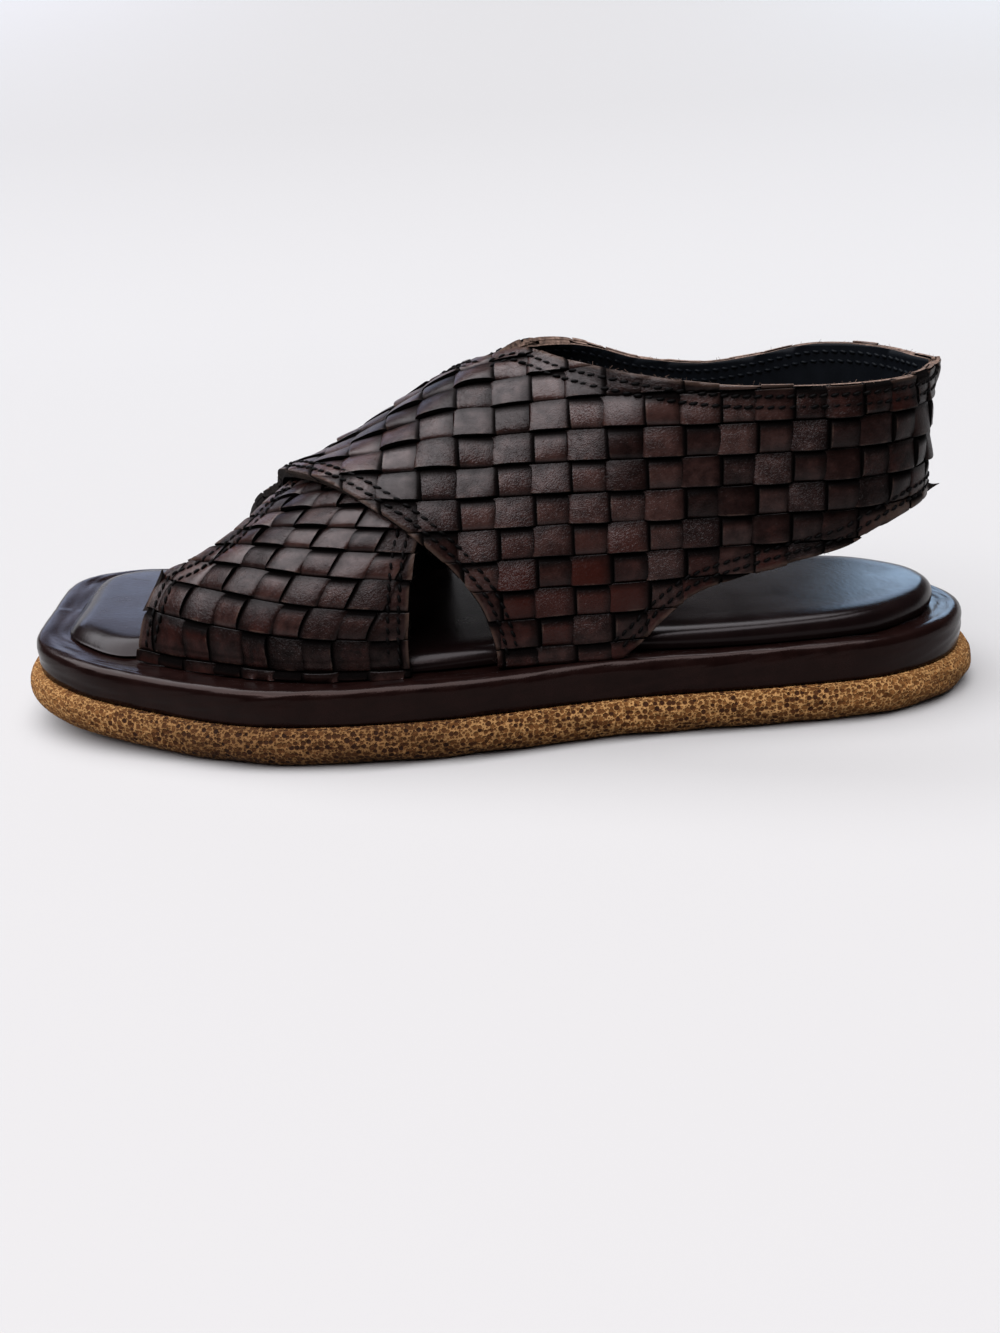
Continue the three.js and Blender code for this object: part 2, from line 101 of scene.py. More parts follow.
def makePiece(name, points, quads, materials, triangles=None, faceMaterial=None, faceSmooth=None,
              values=None, uv=None, uvLoop=None):
    # a mesh of quads, then triangles, with values by point and a map by corner, hung on the frame
    triangles = np.zeros((0, 3), int) if triangles is None else triangles
    corners = np.concatenate([quads.ravel(), triangles.ravel()])
    starts = np.concatenate([np.arange(len(quads)) * 4, len(quads) * 4 + np.arange(len(triangles)) * 3])
    mesh = bpy.data.meshes.new(name)
    mesh.vertices.add(len(points))
    mesh.vertices.foreach_set("co", (np.asarray(points) * mm).ravel())
    mesh.loops.add(len(corners))
    mesh.loops.foreach_set("vertex_index", corners.astype(np.int32))
    mesh.polygons.add(len(starts))
    mesh.polygons.foreach_set("loop_start", starts.astype(np.int32))
    for material in materials:
        mesh.materials.append(material)
    if faceMaterial is not None:
        mesh.polygons.foreach_set("material_index", faceMaterial.astype(np.int32))
    soft = np.ones(len(starts), bool) if faceSmooth is None else faceSmooth
    mesh.polygons.foreach_set("use_smooth", soft)
    mesh.update(calc_edges=True)
    for key, value in (values or {}).items():
        mesh.attributes.new(key, "FLOAT", "POINT").data.foreach_set("value", value.astype(np.float32))
    if uv is not None:
        places = uv[corners]
        if uvLoop is not None:  # the last faces of a ring run on past its length
            around = places[:len(quads) * 4, 0].reshape(-1, 4)
            around[around < around.max(1, keepdims=True) - uvLoop / 2] += uvLoop
        mesh.uv_layers.new(name="strip").data.foreach_set("uv", places.astype(np.float32).ravel())
    mesh.validate()
    piece = bpy.data.objects.new(name, mesh)
    bpy.context.scene.collection.objects.link(piece)
    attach(piece, "root")
    print(f"{name}: {len(quads) * 2 + len(triangles)} triangles")
    return piece


# The sole's outline and heights
sole = {
    "outline": [  # midsole, closed: toe, outer side, heel, inner side
        [-136.5, -4.2], [-130.4, -29.3], [-116.2, -42.1], [-90.8, -51.8], [-54.2, -60.6],
        [-9.2, -57.2], [40.1, -44.5], [84.4, -37.7], [114.8, -30.3], [133.2, -16.4],
        [139.9, 0.5], [134.1, 18.4], [114.5, 31.1], [80.2, 34], [30.1, 35.5],
        [-20, 40], [-65.4, 46.5], [-101.2, 47.6], [-127.3, 41], [-139.5, 24.9]],
    "solidSteps": 3,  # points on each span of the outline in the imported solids
    "halfLength": 140, "outsoleThickness": 11, "overhang": 3.9, "pieceGap": 0.3,
    "rimAtToe": 20.9, "rimAtHeel": 22.6, "springStart": -50, "springRise": 6.5, "springMost": 1.2,
    "insoleRiseAtToe": 3.7, "insoleRiseAtHeel": 7.4,
    "insoleInset": [  # x, outer side, inner side
        [-140, 10.5, 10.5], [-118, 10.5, 10.4], [-106, 10.7, 11.3], [-97, 14.2, 12.2], [-80, 13.2, 11.2],
        [-45, 10, 8], [-10, 9.3, 8], [35, 8.2, 8], [58, 5.5, 6], [85, 4.6, 4.6], [110, 5.2, 5.6],
        [128, 7.4, 8], [140, 9, 9]],
}


def toeSpring(x):  # the toe end lifts with the square of the way past the ball
    reach = sole["springStart"] + sole["halfLength"]
    return sole["springRise"] * np.clip((sole["springStart"] - x) / reach, 0, sole["springMost"]) ** 2


def heelShare(x):  # 0 at the toe, 1 at the heel
    return (x + sole["halfLength"]) / (2 * sole["halfLength"])


def rimHeight(x):  # top of the midsole: a slope from toe to heel and the toe spring
    return mix(sole["rimAtToe"], sole["rimAtHeel"], heelShare(x)) + toeSpring(x)


def insoleTop(x):  # the pad stands higher over the rim towards the heel
    return rimHeight(x) + mix(sole["insoleRiseAtToe"], sole["insoleRiseAtHeel"], heelShare(x))


def outlineCurve(perSpan):  # closed centripetal Catmull-Rom; each span is a cubic in its own parameter
    p1 = np.asarray(sole["outline"], float)
    p0, p2, p3 = np.roll(p1, 1, 0), np.roll(p1, -1, 0), np.roll(p1, -2, 0)
    spans = (p0, p1), (p1, p2), (p2, p3)
    d0, d1, d2 = (np.linalg.norm(b - a, axis=1, keepdims=True) ** 0.5 for a, b in spans)
    t1 = ((p1 - p0) / d0 - (p2 - p0) / (d0 + d1) + (p2 - p1) / d1) * d1
    t2 = ((p2 - p1) / d1 - (p3 - p1) / (d1 + d2) + (p3 - p2) / d2) * d1
    t = np.arange(perSpan)[None, :, None] / perSpan
    a, b = (-3 * p1 + 3 * p2 - 2 * t1 - t2)[:, None], (2 * p1 - 2 * p2 + t1 + t2)[:, None]
    points = p1[:, None] + t1[:, None] * t + a * t**2 + b * t**3
    out = -leftOf(unit(t1[:, None] + 2 * a * t + 3 * b * t**2))
    return points.reshape(-1, 2), out.reshape(-1, 2)


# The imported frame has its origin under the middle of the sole, so the tables shift sideways by this much.
corner, cornerOut = outlineCurve(sole["solidSteps"])
widest = corner[:, 1] + sole["overhang"] * cornerOut[:, 1]
shift = np.array([0.0, -(widest.min() + widest.max()) / 2, 0.0])


def soleRing(count):  # points a step apart round the outline, the outward direction and the running length
    points, out = outlineCurve(perSpan=120)
    loop, turn = np.vstack([points, points[:1]]), np.vstack([out, out[:1]])
    way = alongLine(loop)
    at = np.linspace(0, way[-1], count, endpoint=False)
    return pointsAt(at, way, loop), unit(pointsAt(at, way, turn)), at


def profileCurve(profile, count):  # Catmull-Rom through rows of (way out, share of the height), in even steps
    rows = splinePoints(np.asarray(profile, float), perSpan=24)
    way = alongLine(rows * [1, sole["outsoleThickness"]])
    at = np.linspace(0, way[-1], count)
    return pointsAt(at, way, rows), at


def gridNormals(grid):  # unit normals of a grid of rings, each closed on itself
    along = np.roll(grid, -1, 1) - np.roll(grid, 1, 1)
    return unit(np.cross(along, np.gradient(grid, axis=0)))


def ringQuads(levels, count):  # faces between rings of count points, one ring on the other
    level, i = np.meshgrid(np.arange(levels - 1), np.arange(count), indexing="ij")
    a, b = level * count + i, level * count + (i + 1) % count
    return np.stack([a, b, b + count, a + count], 2).reshape(-1, 4)


def capTriangles(base, count, up):  # cross strips between opposite points of a ring
    i = np.arange(count // 2)
    a, b, c, d = base + i, base + i + 1, base + count - i - 1, base + (count - i) % count
    first = np.stack([a, b, c], 1)[b != c]
    second = np.stack([a, c, d], 1)[i > 0]
    triangles = np.vstack([first, second])
    return triangles if up else triangles[:, ::-1]


# The foot form that the straps lie on: sections across the foot, carried round the heel
footForm = {
    "sections": [  # x, outer y and inner y at the rim, crown y, crown z, squareness
        [-105, -32.5, 33, 2, 42, 2.5], [-85, -41, 38.5, 2, 49.5, 2.5], [-65, -47, 39.5, 1, 58, 2.45],
        [-45, -51.5, 37.5, 0, 68, 2.4], [-25, -51.5, 34.5, 0, 79, 2.3], [-5, -48, 31, 0, 90.7, 2.25],
        [15, -44, 29.5, 0, 100.3, 2.2], [35, -41, 29, 0, 114, 2.2], [60, -36.5, 30, -1, 175, 2.2],
        [85, -33.5, 31.5, -1, 290, 2.2]],
    "heelCentre": 85, "heelReach": 38.4, "heelSquareness": 2.3, "heelSteps": 361, "sectionSteps": 97,
    "step": 1.0, "foremost": -112, "lowest": -6, "tallest": 200,  # reach of the chart
    "seamFlare": 2.6, "flareWidth": 6,
    "lowFlare": 0.6, "lowFlareBand": (33, 44), "topFlare": 1.2, "topFlareBand": (57, 68),
}


def heelRadius(angle):  # superellipse about the heel's centre
    crownY, outerY, innerY = (footForm["sections"][-1][k] for k in (3, 1, 2))
    power = footForm["heelSquareness"]
    side = np.where(angle < 0, crownY - outerY, innerY - crownY)
    total = (np.cos(angle).clip(0) / footForm["heelReach"]) ** power + (np.abs(np.sin(angle)) / side) ** power
    return total ** (-1 / power)


heelAngles = np.linspace(-np.pi / 2, np.pi / 2, footForm["heelSteps"])
heelLine = heelRadius(heelAngles)[:, None] * np.stack([np.cos(heelAngles), np.sin(heelAngles)], 1)
heelArc = alongLine(heelLine)
heelStart = footForm["heelCentre"]
heelBack = heelStart + heelArc[footForm["heelSteps"] // 2]
heelEnd = heelStart + heelArc[-1]


def innerPlace(x):  # chart place of x on the inner side
    return heelEnd + heelStart - x


def sectionsAt(s):  # half sections as polylines from the rim to the crown
    straight = (s <= heelStart) | (s >= heelEnd)
    outer = s <= heelStart
    x = np.where(outer, s, np.where(straight, innerPlace(s), heelStart))
    angle = np.interp(np.clip(s - heelStart, 0, heelArc[-1]), heelArc, heelAngles)
    sections = footForm["sections"]
    crownY = tableCurve(sections, 3, x)
    sideways = np.where(outer, crownY - tableCurve(sections, 1, x), tableCurve(sections, 2, x) - crownY)
    reach = np.where(straight, sideways, heelRadius(angle))
    dirX = np.where(straight, 0, np.cos(angle))
    dirY = np.where(straight, np.where(outer, -1, 1), np.sin(angle))
    base = rimHeight(x + dirX * reach)
    rise = tableCurve(sections, 4, x) - base
    power = 2 / tableCurve(sections, 5, x)
    turn = np.linspace(0, np.pi / 2, footForm["sectionSteps"])
    out = reach[:, None] * np.cos(turn).clip(0) ** power[:, None]
    z = base[:, None] + rise[:, None] * np.sin(turn) ** power[:, None]
    stepOut, stepUp = (np.diff(a, axis=1, prepend=a[:, :1]) for a in (out, z))
    way = np.cumsum(np.hypot(stepOut, stepUp), axis=1)
    return {"x": x, "crownY": crownY, "dirX": dirX, "dirY": dirY, "out": out, "z": z, "way": way,
            "straight": straight}


def pointsUp(section, way):  # points of each section at the given ways along it
    i = np.clip((section["way"][:, None, :] < way[:, :, None]).sum(2), 1, footForm["sectionSteps"] - 1)
    pick = lambda values, k: np.take_along_axis(values, k, 1)
    w0, w1 = pick(section["way"], i - 1), pick(section["way"], i)
    k = (way - w0) / (w1 - w0)
    out = mix(pick(section["out"], i - 1), pick(section["out"], i), k)
    z = mix(pick(section["z"], i - 1), pick(section["z"], i), k)
    x = section["x"][:, None] + section["dirX"][:, None] * out
    y = section["crownY"][:, None] + section["dirY"][:, None] * out
    return np.stack([x, y, z], 2)


def formChart():  # form points and normals over place s and way up v; past the crown, down the other side
    step = footForm["step"]
    s = np.arange(footForm["foremost"], innerPlace(footForm["foremost"]), step)
    v = np.arange(footForm["lowest"], footForm["tallest"], step)
    near, far = sectionsAt(s), sectionsAt(innerPlace(s))
    half = near["way"][:, -1]
    way = np.broadcast_to(v, (len(s), len(v)))
    past = (way > half[:, None]) & near["straight"][:, None]
    beyond = pointsUp(far, far["way"][:, -1:] + half[:, None] - way)
    points = np.where(past[..., None], beyond, pointsUp(near, way))
    normals = unit(np.cross(np.gradient(points, axis=0), np.gradient(points, axis=1)))
    return {"s": s, "v": v, "points": points, "normals": normals, "half": half}


chart = formChart()
print("foot form", chart["points"].shape)


def halfWay(s):  # way from the rim up to the crown
    return np.interp(s, chart["s"], chart["half"])


def onForm(s, v, h):  # point of the form at (s, v), h out along its normal; the back seam flares at both ends
    i = np.clip((s - chart["s"][0]) / footForm["step"], 0, len(chart["s"]) - 1.001)
    j = np.clip((v - chart["v"][0]) / footForm["step"], 0, len(chart["v"]) - 1.001)
    i0, j0 = i.astype(int), j.astype(int)
    a, b = (i - i0)[..., None], (j - j0)[..., None]
    blend = lambda t: mix(mix(t[i0, j0], t[i0 + 1, j0], a), mix(t[i0, j0 + 1], t[i0 + 1, j0 + 1], a), b)
    near = np.exp(-(((s - heelBack) / footForm["flareWidth"]) ** 2))
    low = footForm["lowFlare"] * (1 - smooth(*footForm["lowFlareBand"], v))
    high = footForm["topFlare"] * smooth(*footForm["topFlareBand"], v)
    flare = footForm["seamFlare"] * near * (low + high)
    return blend(chart["points"]) + unit(blend(chart["normals"])) * (h + flare)[..., None] + shift


# Strap outlines
straps = {
    "footGap": 0.6, "seamSlit": 1.2, "tongue": 6, "crownFront": -50.3, "edgeStep": 1.5,
    "seamPlace": 142,  # rows behind this x end at the back seam
    "waistFront": [  # x, way up the form from the rim
        [6.8, 0.6], [6.6, 6], [4.4, 14.5], [1.5, 20.5], [-4.5, 28.6], [-11.4, 35.2], [-17.5, 40],
        [-24.6, 44.6], [-33, 50], [-44, 57.5], [-52, 64.5]],
    "innerWaistFront": [
        [6.8, 0.6], [6.6, 6], [4.4, 14.5], [1.5, 20.5], [-4.5, 28.6], [-11.2, 35.5], [-18, 43],
        [-24.8, 49], [-33, 55.8], [-42.8, 64.8]],
    "outerForefoot": [[-57.8, 60], [-66, 43.8], [-77.2, 32.5], [-86.2, 27], [-89.4, 20.5], [-95.2, 0.6]],
    "innerForefoot": [[-63, 56.5], [-68.5, 47.3], [-75, 35], [-80, 24.5], [-83, 15], [-87, 0.6]],
    "forefootRear": [[-16.5, 0.6], [-16.4, 11], [-15.6, 21], [-14.2, 31], [-12.8, 36.2]],
    "slingLower": [
        [142.75, 34.5], [126, 35.4], [114.8, 34], [106, 31], [98, 27.2], [76.5, 22], [60.8, 17.5],
        [51.8, 11.5], [45.8, 5.5], [39.8, 0.6]],
    "outerInstep": [[-9.5, 36], [-6, 18], [-3, 4], [6, -9]],  # x, way past the crown
    "innerInstep": [[-7, 36], [0, 18], [7, 4], [17, -9]],
    "outerCollar": [
        [15, 88.8], [25.5, 81.2], [42, 75.2], [60.8, 71.5], [80, 69.8], [112, 69.3], [142.75, 69.5]],
    "innerCollar": [
        [28, 79], [41.5, 72.4], [49, 70], [65.5, 67.4], [82, 68.6], [103, 71.5], [142.75, 69.5]],
}


def edgeLine(points):  # Catmull-Rom through chart points, then points a step apart
    return evenly(splinePoints(np.asarray(points, float), perSpan=30), straps["edgeStep"])


def strapEdges(quarterSide, front, forefootFront, instep, collar):
    # named edges of a strap: whole and quarter in the quarter's chart, forefoot in the other side's
    outerSide = quarterSide == "outer"
    near = (lambda x: x) if outerSide else innerPlace
    far = innerPlace if outerSide else (lambda x: x)
    back = heelBack - straps["seamSlit"] if outerSide else heelBack + straps["seamSlit"]
    up = lambda rows: [[back if x > straps["seamPlace"] else near(x), v] for x, v in rows]
    pastCrown = lambda rows: [[near(x), halfWay(near(x)) + v] for x, v in rows]
    across = lambda rows: [[near(x), halfWay(near(x)) + halfWay(far(x)) - v] for x, v in rows]
    farUp = lambda rows: [[far(x), v] for x, v in rows]
    farCrown = lambda rows: [[far(x), halfWay(far(x)) - v] for x, v in rows]
    line = lambda a, b, v: [[x, v] for x in np.linspace(a, b, 5)]
    rear, lower = straps["forefootRear"], straps["slingLower"]
    gap, tongue = straps["footGap"], straps["tongue"]
    crownFront, crownRear = straps["crownFront"], instep[2][0]
    sling = {
        "collar": edgeLine(pastCrown(instep[-1:]) + up(collar)),
        "back": edgeLine(up([collar[-1], lower[0]])),
        "lower": edgeLine(up(lower)),
        "waistFoot": edgeLine(up(line(lower[-1][0], front[0][0], gap)))}
    whole = {
        "front": edgeLine(up(front) + across(forefootFront)),
        "forefootFoot": edgeLine(across(line(forefootFront[-1][0], rear[0][0], gap))),
        "rear": edgeLine(across(rear) + pastCrown(instep)), **sling}
    quarter = {
        "front": edgeLine(up(front) + pastCrown([[crownFront, tongue]])),
        "tongue": edgeLine(pastCrown(line(crownFront, crownRear, tongue))),
        "instep": edgeLine(pastCrown([instep[2], instep[-1]])), **sling}
    forefoot = {
        "front": edgeLine(farCrown([[crownFront, 0]]) + farUp(forefootFront)),
        "forefootFoot": edgeLine(farUp(line(forefootFront[-1][0], rear[0][0], gap))),
        "rear": edgeLine(farUp(rear) + farCrown(instep[:3])),
        "crown": edgeLine(farCrown(line(crownRear, crownFront, 0)))}
    return whole, quarter, forefoot


def closedOutline(edges):  # the edges end to end, each without its last point
    return np.vstack([edge[:-1] for edge in edges.values()])


def planeOf(s, v):  # both straps in one flat plane: x, and the way past the crown towards the inner side
    outer = s <= heelBack
    return np.stack([np.where(outer, s, innerPlace(s)), np.where(outer, v - halfWay(s), halfWay(s) - v)], -1)


def insideDistance(outline, points):  # distance to a closed outline, positive inside, and its nearest point
    a, b = outline, np.roll(outline, -1, 0)
    d = b - a
    square = (d**2).sum(1)
    distance, nearest = np.empty(len(points)), np.empty((len(points), 2))
    batch = 8000  # points at a time, to spare memory
    for i in range(0, len(points), batch):
        p = points[i:i + batch, None]
        k = np.clip(((p - a) * d).sum(2) / square, 0, 1)
        foot = a + k[..., None] * d
        gap = ((p - foot) ** 2).sum(2)
        best = gap.argmin(1)
        crosses = (a[:, 1] > p[..., 1]) != (b[:, 1] > p[..., 1])
        at = a[:, 0] + (p[..., 1] - a[:, 1]) / np.where(d[:, 1] == 0, 1e-9, d[:, 1]) * d[:, 0]
        inside = (crosses & (p[..., 0] < at)).sum(1) % 2 == 1
        row = np.arange(len(best))
        distance[i:i + batch] = np.sqrt(gap[row, best]) * np.where(inside, 1, -1)
        nearest[i:i + batch] = foot[row, best]
    return distance, nearest


overEdges, _, _ = strapEdges(
    "outer", straps["waistFront"], straps["innerForefoot"], straps["outerInstep"], straps["outerCollar"])
underWhole, underQuarter, underForefoot = strapEdges(
    "inner", straps["innerWaistFront"], straps["outerForefoot"], straps["innerInstep"], straps["innerCollar"])
overPlane, underPlane = (planeOf(*closedOutline(edges).T)[::3] for edges in (overEdges, underWhole))

# Weave: where the strips cross, and how they rise over and under each other
weave = {
    "lining": 0.6, "strip": 1.2, "edgeStrip": 1.1, "coveredStrip": 0.66,  # thicknesses
    "edgeBand": (0.3, 6.5),  # way in from the edge over which the edge's thickness changes
    "bodyShare": 0.98,  # of its thickness, so that crossing strips stay apart
    "uprightWidth": 0.9, "levelWidth": 0.95, "widthNoise": 0.03, "noiseRate": 0.7,  # shares of the pitch
    "uprightDrift": 0.035, "levelDrift": 0.03, "wobble": 0.025,
    "uprightReach": -0.03, "levelReach": 0.085, "stiffness": 4.2, "levelSeed": 500,
    "uprightTilt": 0.36, "levelTilt": 0.4, "tiltNoise": 0.6, "tiltRide": (-0.2, 0.7),
    "unevenness": 0.25, "liftNoise": 0.6, "settleBand": (0.5, 7),
    "bulge": 0.28, "bulgeBand": (5.5, 9), "bevel": 0.05, "bevelFrom": 0.9, "crown": 0.1, "stickOut": 0.6,
    "uprightPitch": 8.0, "levelPitch": 9.6, "uvHalfWidth": 4.3, "uvStep": 17.3,  # of the leather's own map
}
crossing = {
    "lift": 1.75, "ramp": 14, "frontLift": 2.8, "frontBand": 13, "flatBand": (3, 9), "spareFrom": 15,
    "vampStart": (-86, -74), "vampEnd": (-26, -8), "vampSide": (-60, -45),
}
stitching = {
    "rows": (2.4, 5.1), "pitch": 2.75, "length": 1.9, "radius": 0.44, "slant": 0.25,
    "sink": 0.2, "rise": 0.16, "press": 0.16, "pressWidth": 0.7, "endGap": 0.5, "slack": 0.3,
}
quarterWeave = {
    "firstColumn": 7.9, "columnPitch": 9.8, "evenColumns": 3, "narrowing": 0.09,
    "firstRow": 5.2, "rowPitch": 8,
}
vampWeave = {
    "firstColumn": -88.5, "columnPitch": 8.8,
    "firstRow": 2.8, "rowPitch": 9.7, "rowShrink": 0.45, "sideRows": 5, "crownRow": 42.3, "crownPitch": 6.2,
    "lean": 0.57, "leanFrom": 14, "leanEase": 5, "tilt": 0.08, "tiltFrom": -60, "tiltEase": 20,
}
rustPlaces = {
    "quarterLeast": 0.25, "quarterLow": (18, 44), "waist": (-25, 5), "sling": (70, 105), "slingShare": 0.4,
    "vampLeast": 0.2, "vampMore": 0.35, "vampLow": (10, 34),
}
cellTable = np.linspace(-14, 24, 900)  # columns or rows, to look up the cell of a chart point
cellSteps = np.array([0, 0.05, 0.11, 0.19, 0.32, 0.5, 0.68, 0.81, 0.89, 0.95])  # points along each cell
acrossSteps = np.array([-1, -0.965, -0.86, -0.45, 0, 0.45, 0.86, 0.965, 1])  # points across a strip
tableSize = 64  # strips and cells in a table of chance values, which then repeats


def quarterColumn(c):  # columns narrow a little towards the heel
    narrowing = quarterWeave["narrowing"] * np.maximum(c - quarterWeave["evenColumns"], 0) ** 2
    return quarterWeave["firstColumn"] + quarterWeave["columnPitch"] * c - narrowing


def quarterPlace(c, r):  # chart place of a column and a row; the rows are even
    return quarterColumn(c), quarterWeave["firstRow"] + quarterWeave["rowPitch"] * r


def innerQuarterPlace(c, r):  # the same on the inner side
    s, v = quarterPlace(c, r)
    return innerPlace(s), v


def quarterCells(s, v):  # column and row of a chart point
    column = np.interp(s, quarterColumn(cellTable), cellTable)
    return column, (v - quarterWeave["firstRow"]) / quarterWeave["rowPitch"]


def innerQuarterCells(s, v):  # the same on the inner side
    return quarterCells(innerPlace(s), v)


def forefootRow(r):  # rows get lower up the side, then go on evenly over the crown
    w = vampWeave
    side = w["firstRow"] + w["rowPitch"] * r - w["rowShrink"] * r * (r - 1)
    return np.where(r < w["sideRows"], side, w["crownRow"] + w["crownPitch"] * (r - w["sideRows"]))


def forefootLean(row):  # none low on the side, a straight slope higher up, a parabola between them
    past, ease = row - vampWeave["leanFrom"], vampWeave["leanEase"]
    eased = np.where(past > ease, past, (past + ease) ** 2 / (4 * ease))
    return vampWeave["lean"] * np.where(past < -ease, 0, eased)


def forefootTilt(s, row):  # how far a row drops towards the heel: a straight slope, eased in above the rim
    w = vampWeave
    return w["tilt"] * (s - w["tiltFrom"]) * np.clip(row / w["tiltEase"], 0, 1)


def forefootPlace(c, r):  # columns lean back past the turn of the side, rows tilt towards the heel
    row = forefootRow(r)
    s = vampWeave["firstColumn"] + vampWeave["columnPitch"] * c + forefootLean(row)
    return s, row - forefootTilt(s, row)


def forefootCells(s, v):  # undoes the tilt by correcting it twelve times, then the lean
    row = v
    for _ in range(12):
        row = v + forefootTilt(s, row)
    column = (s - forefootLean(row) - vampWeave["firstColumn"]) / vampWeave["columnPitch"]
    return column, np.interp(row, forefootRow(cellTable), cellTable)


def overLift(s, v):  # the over strap rides on the under strap, and its front edge stands off a little
    p = planeOf(s, v).reshape(-1, 2)
    riding = 1 - smooth(0, crossing["ramp"], -insideDistance(underPlane, p)[0])
    atEdge = 1 - smooth(0, crossing["frontBand"], insideDistance(overPlane, p)[0])
    byVamp = smooth(*crossing["vampStart"], p[:, 0]) * (1 - smooth(*crossing["vampEnd"], p[:, 0]))
    byVamp = byVamp * smooth(*crossing["vampSide"], p[:, 1])
    return (riding * (crossing["lift"] + crossing["frontLift"] * atEdge * byVamp)).reshape(np.shape(s))


def noLift(s, v):  # the under strap lies on the form
    return np.zeros(np.shape(s))


def underCalm(s, v):  # 1 where the weave shows, 0 where it lies flat below the over strap
    p = planeOf(s, v).reshape(-1, 2)
    return (1 - smooth(*crossing["flatBand"], insideDistance(overPlane, p)[0])).reshape(np.shape(s))


def noCalm(s, v):  # the weave shows everywhere
    return np.ones(np.shape(s))


def quarterRust(s, v):  # redder low on the side and along the sling
    x = planeOf(s, v)[..., 0]
    low = (1 - smooth(*rustPlaces["quarterLow"], v)) * smooth(*rustPlaces["waist"], x)
    sling = rustPlaces["slingShare"] * smooth(*rustPlaces["sling"], x)
    return rustPlaces["quarterLeast"] + (1 - rustPlaces["quarterLeast"]) * np.maximum(low, sling)


def vampRust(s, v):  # redder low on the side
    return rustPlaces["vampLeast"] + rustPlaces["vampMore"] * (1 - smooth(*rustPlaces["vampLow"], v))


def runValue(upright, key):  # a weave value of the uprights, or of the level strips
    return weave[("upright" if upright else "level") + key]


def cellNoise(k, along, seed):  # one value for each strip and cell, eased from cell to cell
    table = np.random.RandomState(seed).rand(tableSize, tableSize) * 2 - 1
    at = along - 0.5
    i = np.floor(at).astype(int)
    t = smooth(0.2, 0.8, at - i)
    return mix(table[k % tableSize, i % tableSize], table[k % tableSize, (i + 1) % tableSize], t)


def firstOver(k, upright):  # strips that are on top in their first cell
    return k % 2 == (1 if upright else 0)


def rideOf(along, k, upright):  # 1 on top, -1 underneath, by turns; on top for a reach past its cell's ends
    wave = np.sin(np.pi * along) * np.where(firstOver(k, upright), 1, -1)
    wave = wave + np.sin(np.pi * runValue(upright, "Reach"))
    return np.clip(np.tanh(weave["stiffness"] * wave) / np.tanh(weave["stiffness"]), -1, 1)


def cellShare(along, k, upright):  # number of the cell on top, and the way along it from 0 to 1
    reach = runValue(upright, "Reach")
    phase = along + reach - np.where(firstOver(k, upright), 0, 1)
    cell = np.floor(phase / 2).astype(int)
    return cell, np.clip((phase - 2 * cell) / (1 + 2 * reach), 0, 1)


def stripGrid(strap, upright):  # every strip that runs one way, as (strip, along, across) arrays
    low, high = strap["columns"] if upright else strap["rows"]
    start, end = strap["rows"] if upright else strap["columns"]
    k = np.arange(low, high)[:, None, None]
    along = (np.arange(start, end)[:, None] + cellSteps).reshape(1, -1, 1)
    u = acrossSteps[None, None, :]
    seed = strap["seed"] + (0 if upright else weave["levelSeed"])
    half = 0.5 * runValue(upright, "Width")
    half = half * (1 + weave["widthNoise"] * cellNoise(k, along * weave["noiseRate"], seed + 1))
    drift = runValue(upright, "Drift") * (strap["turn"] if upright else 1)  # towards the strip's flush edge
    middle = k + 0.5 + drift + weave["wobble"] * cellNoise(k, along, seed + 2)
    ride = rideOf(along, k, upright)
    k, along, u, cross, ride = np.broadcast_arrays(k, along, u, middle + half * u, ride)
    c, r = (cross, along) if upright else (along, cross)
    s, v = strap["place"](c, r)
    return {"k": k, "along": along, "u": u, "s": s, "v": v, "ride": ride, "seed": seed}


def trimGrid(s, v, outline, spare=None, stickOut=0.0):
    # cells that reach into the outline, with their outside corners brought onto it or stickOut past it
    shape = s.shape
    points = np.stack([s.ravel(), v.ravel()], 1)
    distance, nearest = insideDistance(outline, points)
    margin = np.broadcast_to(stickOut, shape).ravel()
    outside = distance <= 0.02 - margin  # a hair inside counts as outside, so that no face is a sliver
    inside = ~outside.reshape(shape)
    if spare is not None:
        inside &= ~spare
    reach = inside[..., :-1, :-1] | inside[..., 1:, :-1] | inside[..., :-1, 1:] | inside[..., 1:, 1:]
    away = points - nearest
    away /= np.maximum(np.linalg.norm(away, axis=1, keepdims=True), 1e-6)
    points[outside] = (nearest + away * margin[:, None])[outside]
    index = np.arange(s.size).reshape(shape)
    around = index[..., :-1, :-1], index[..., 1:, :-1], index[..., 1:, 1:], index[..., :-1, 1:]
    s, v = (points[:, k].reshape(shape) for k in (0, 1))
    return s, v, np.maximum(distance, 0).reshape(shape), np.stack(around, -1)[reach]


def closedShell(top, bottom, quads):  # both faces of a sheet and the wall round it
    used, flat = np.unique(quads, return_inverse=True)
    q, n = flat.reshape(-1, 4), len(used)
    a, b = top[used[q[:, 1]]] - top[used[q[:, 0]]], top[used[q[:, 3]]] - top[used[q[:, 0]]]
    away = top[used] - bottom[used]
    if (np.cross(a, b) * away[q[:, 0]]).sum() < 0:
        q = q[:, ::-1]
    edges = np.concatenate([q[:, [0, 1]], q[:, [1, 2]], q[:, [2, 3]], q[:, [3, 0]]])
    ends = np.sort(edges, 1)
    _, first, count = np.unique(ends[:, 0] * n + ends[:, 1], return_index=True, return_counts=True)
    rim = edges[first[count == 1]]
    wall = np.stack([rim[:, 0] + n, rim[:, 1] + n, rim[:, 1], rim[:, 0]], 1)
    return used, np.vstack([top[used], bottom[used]]), np.vstack([q, q[:, ::-1] + n, wall]), len(q)


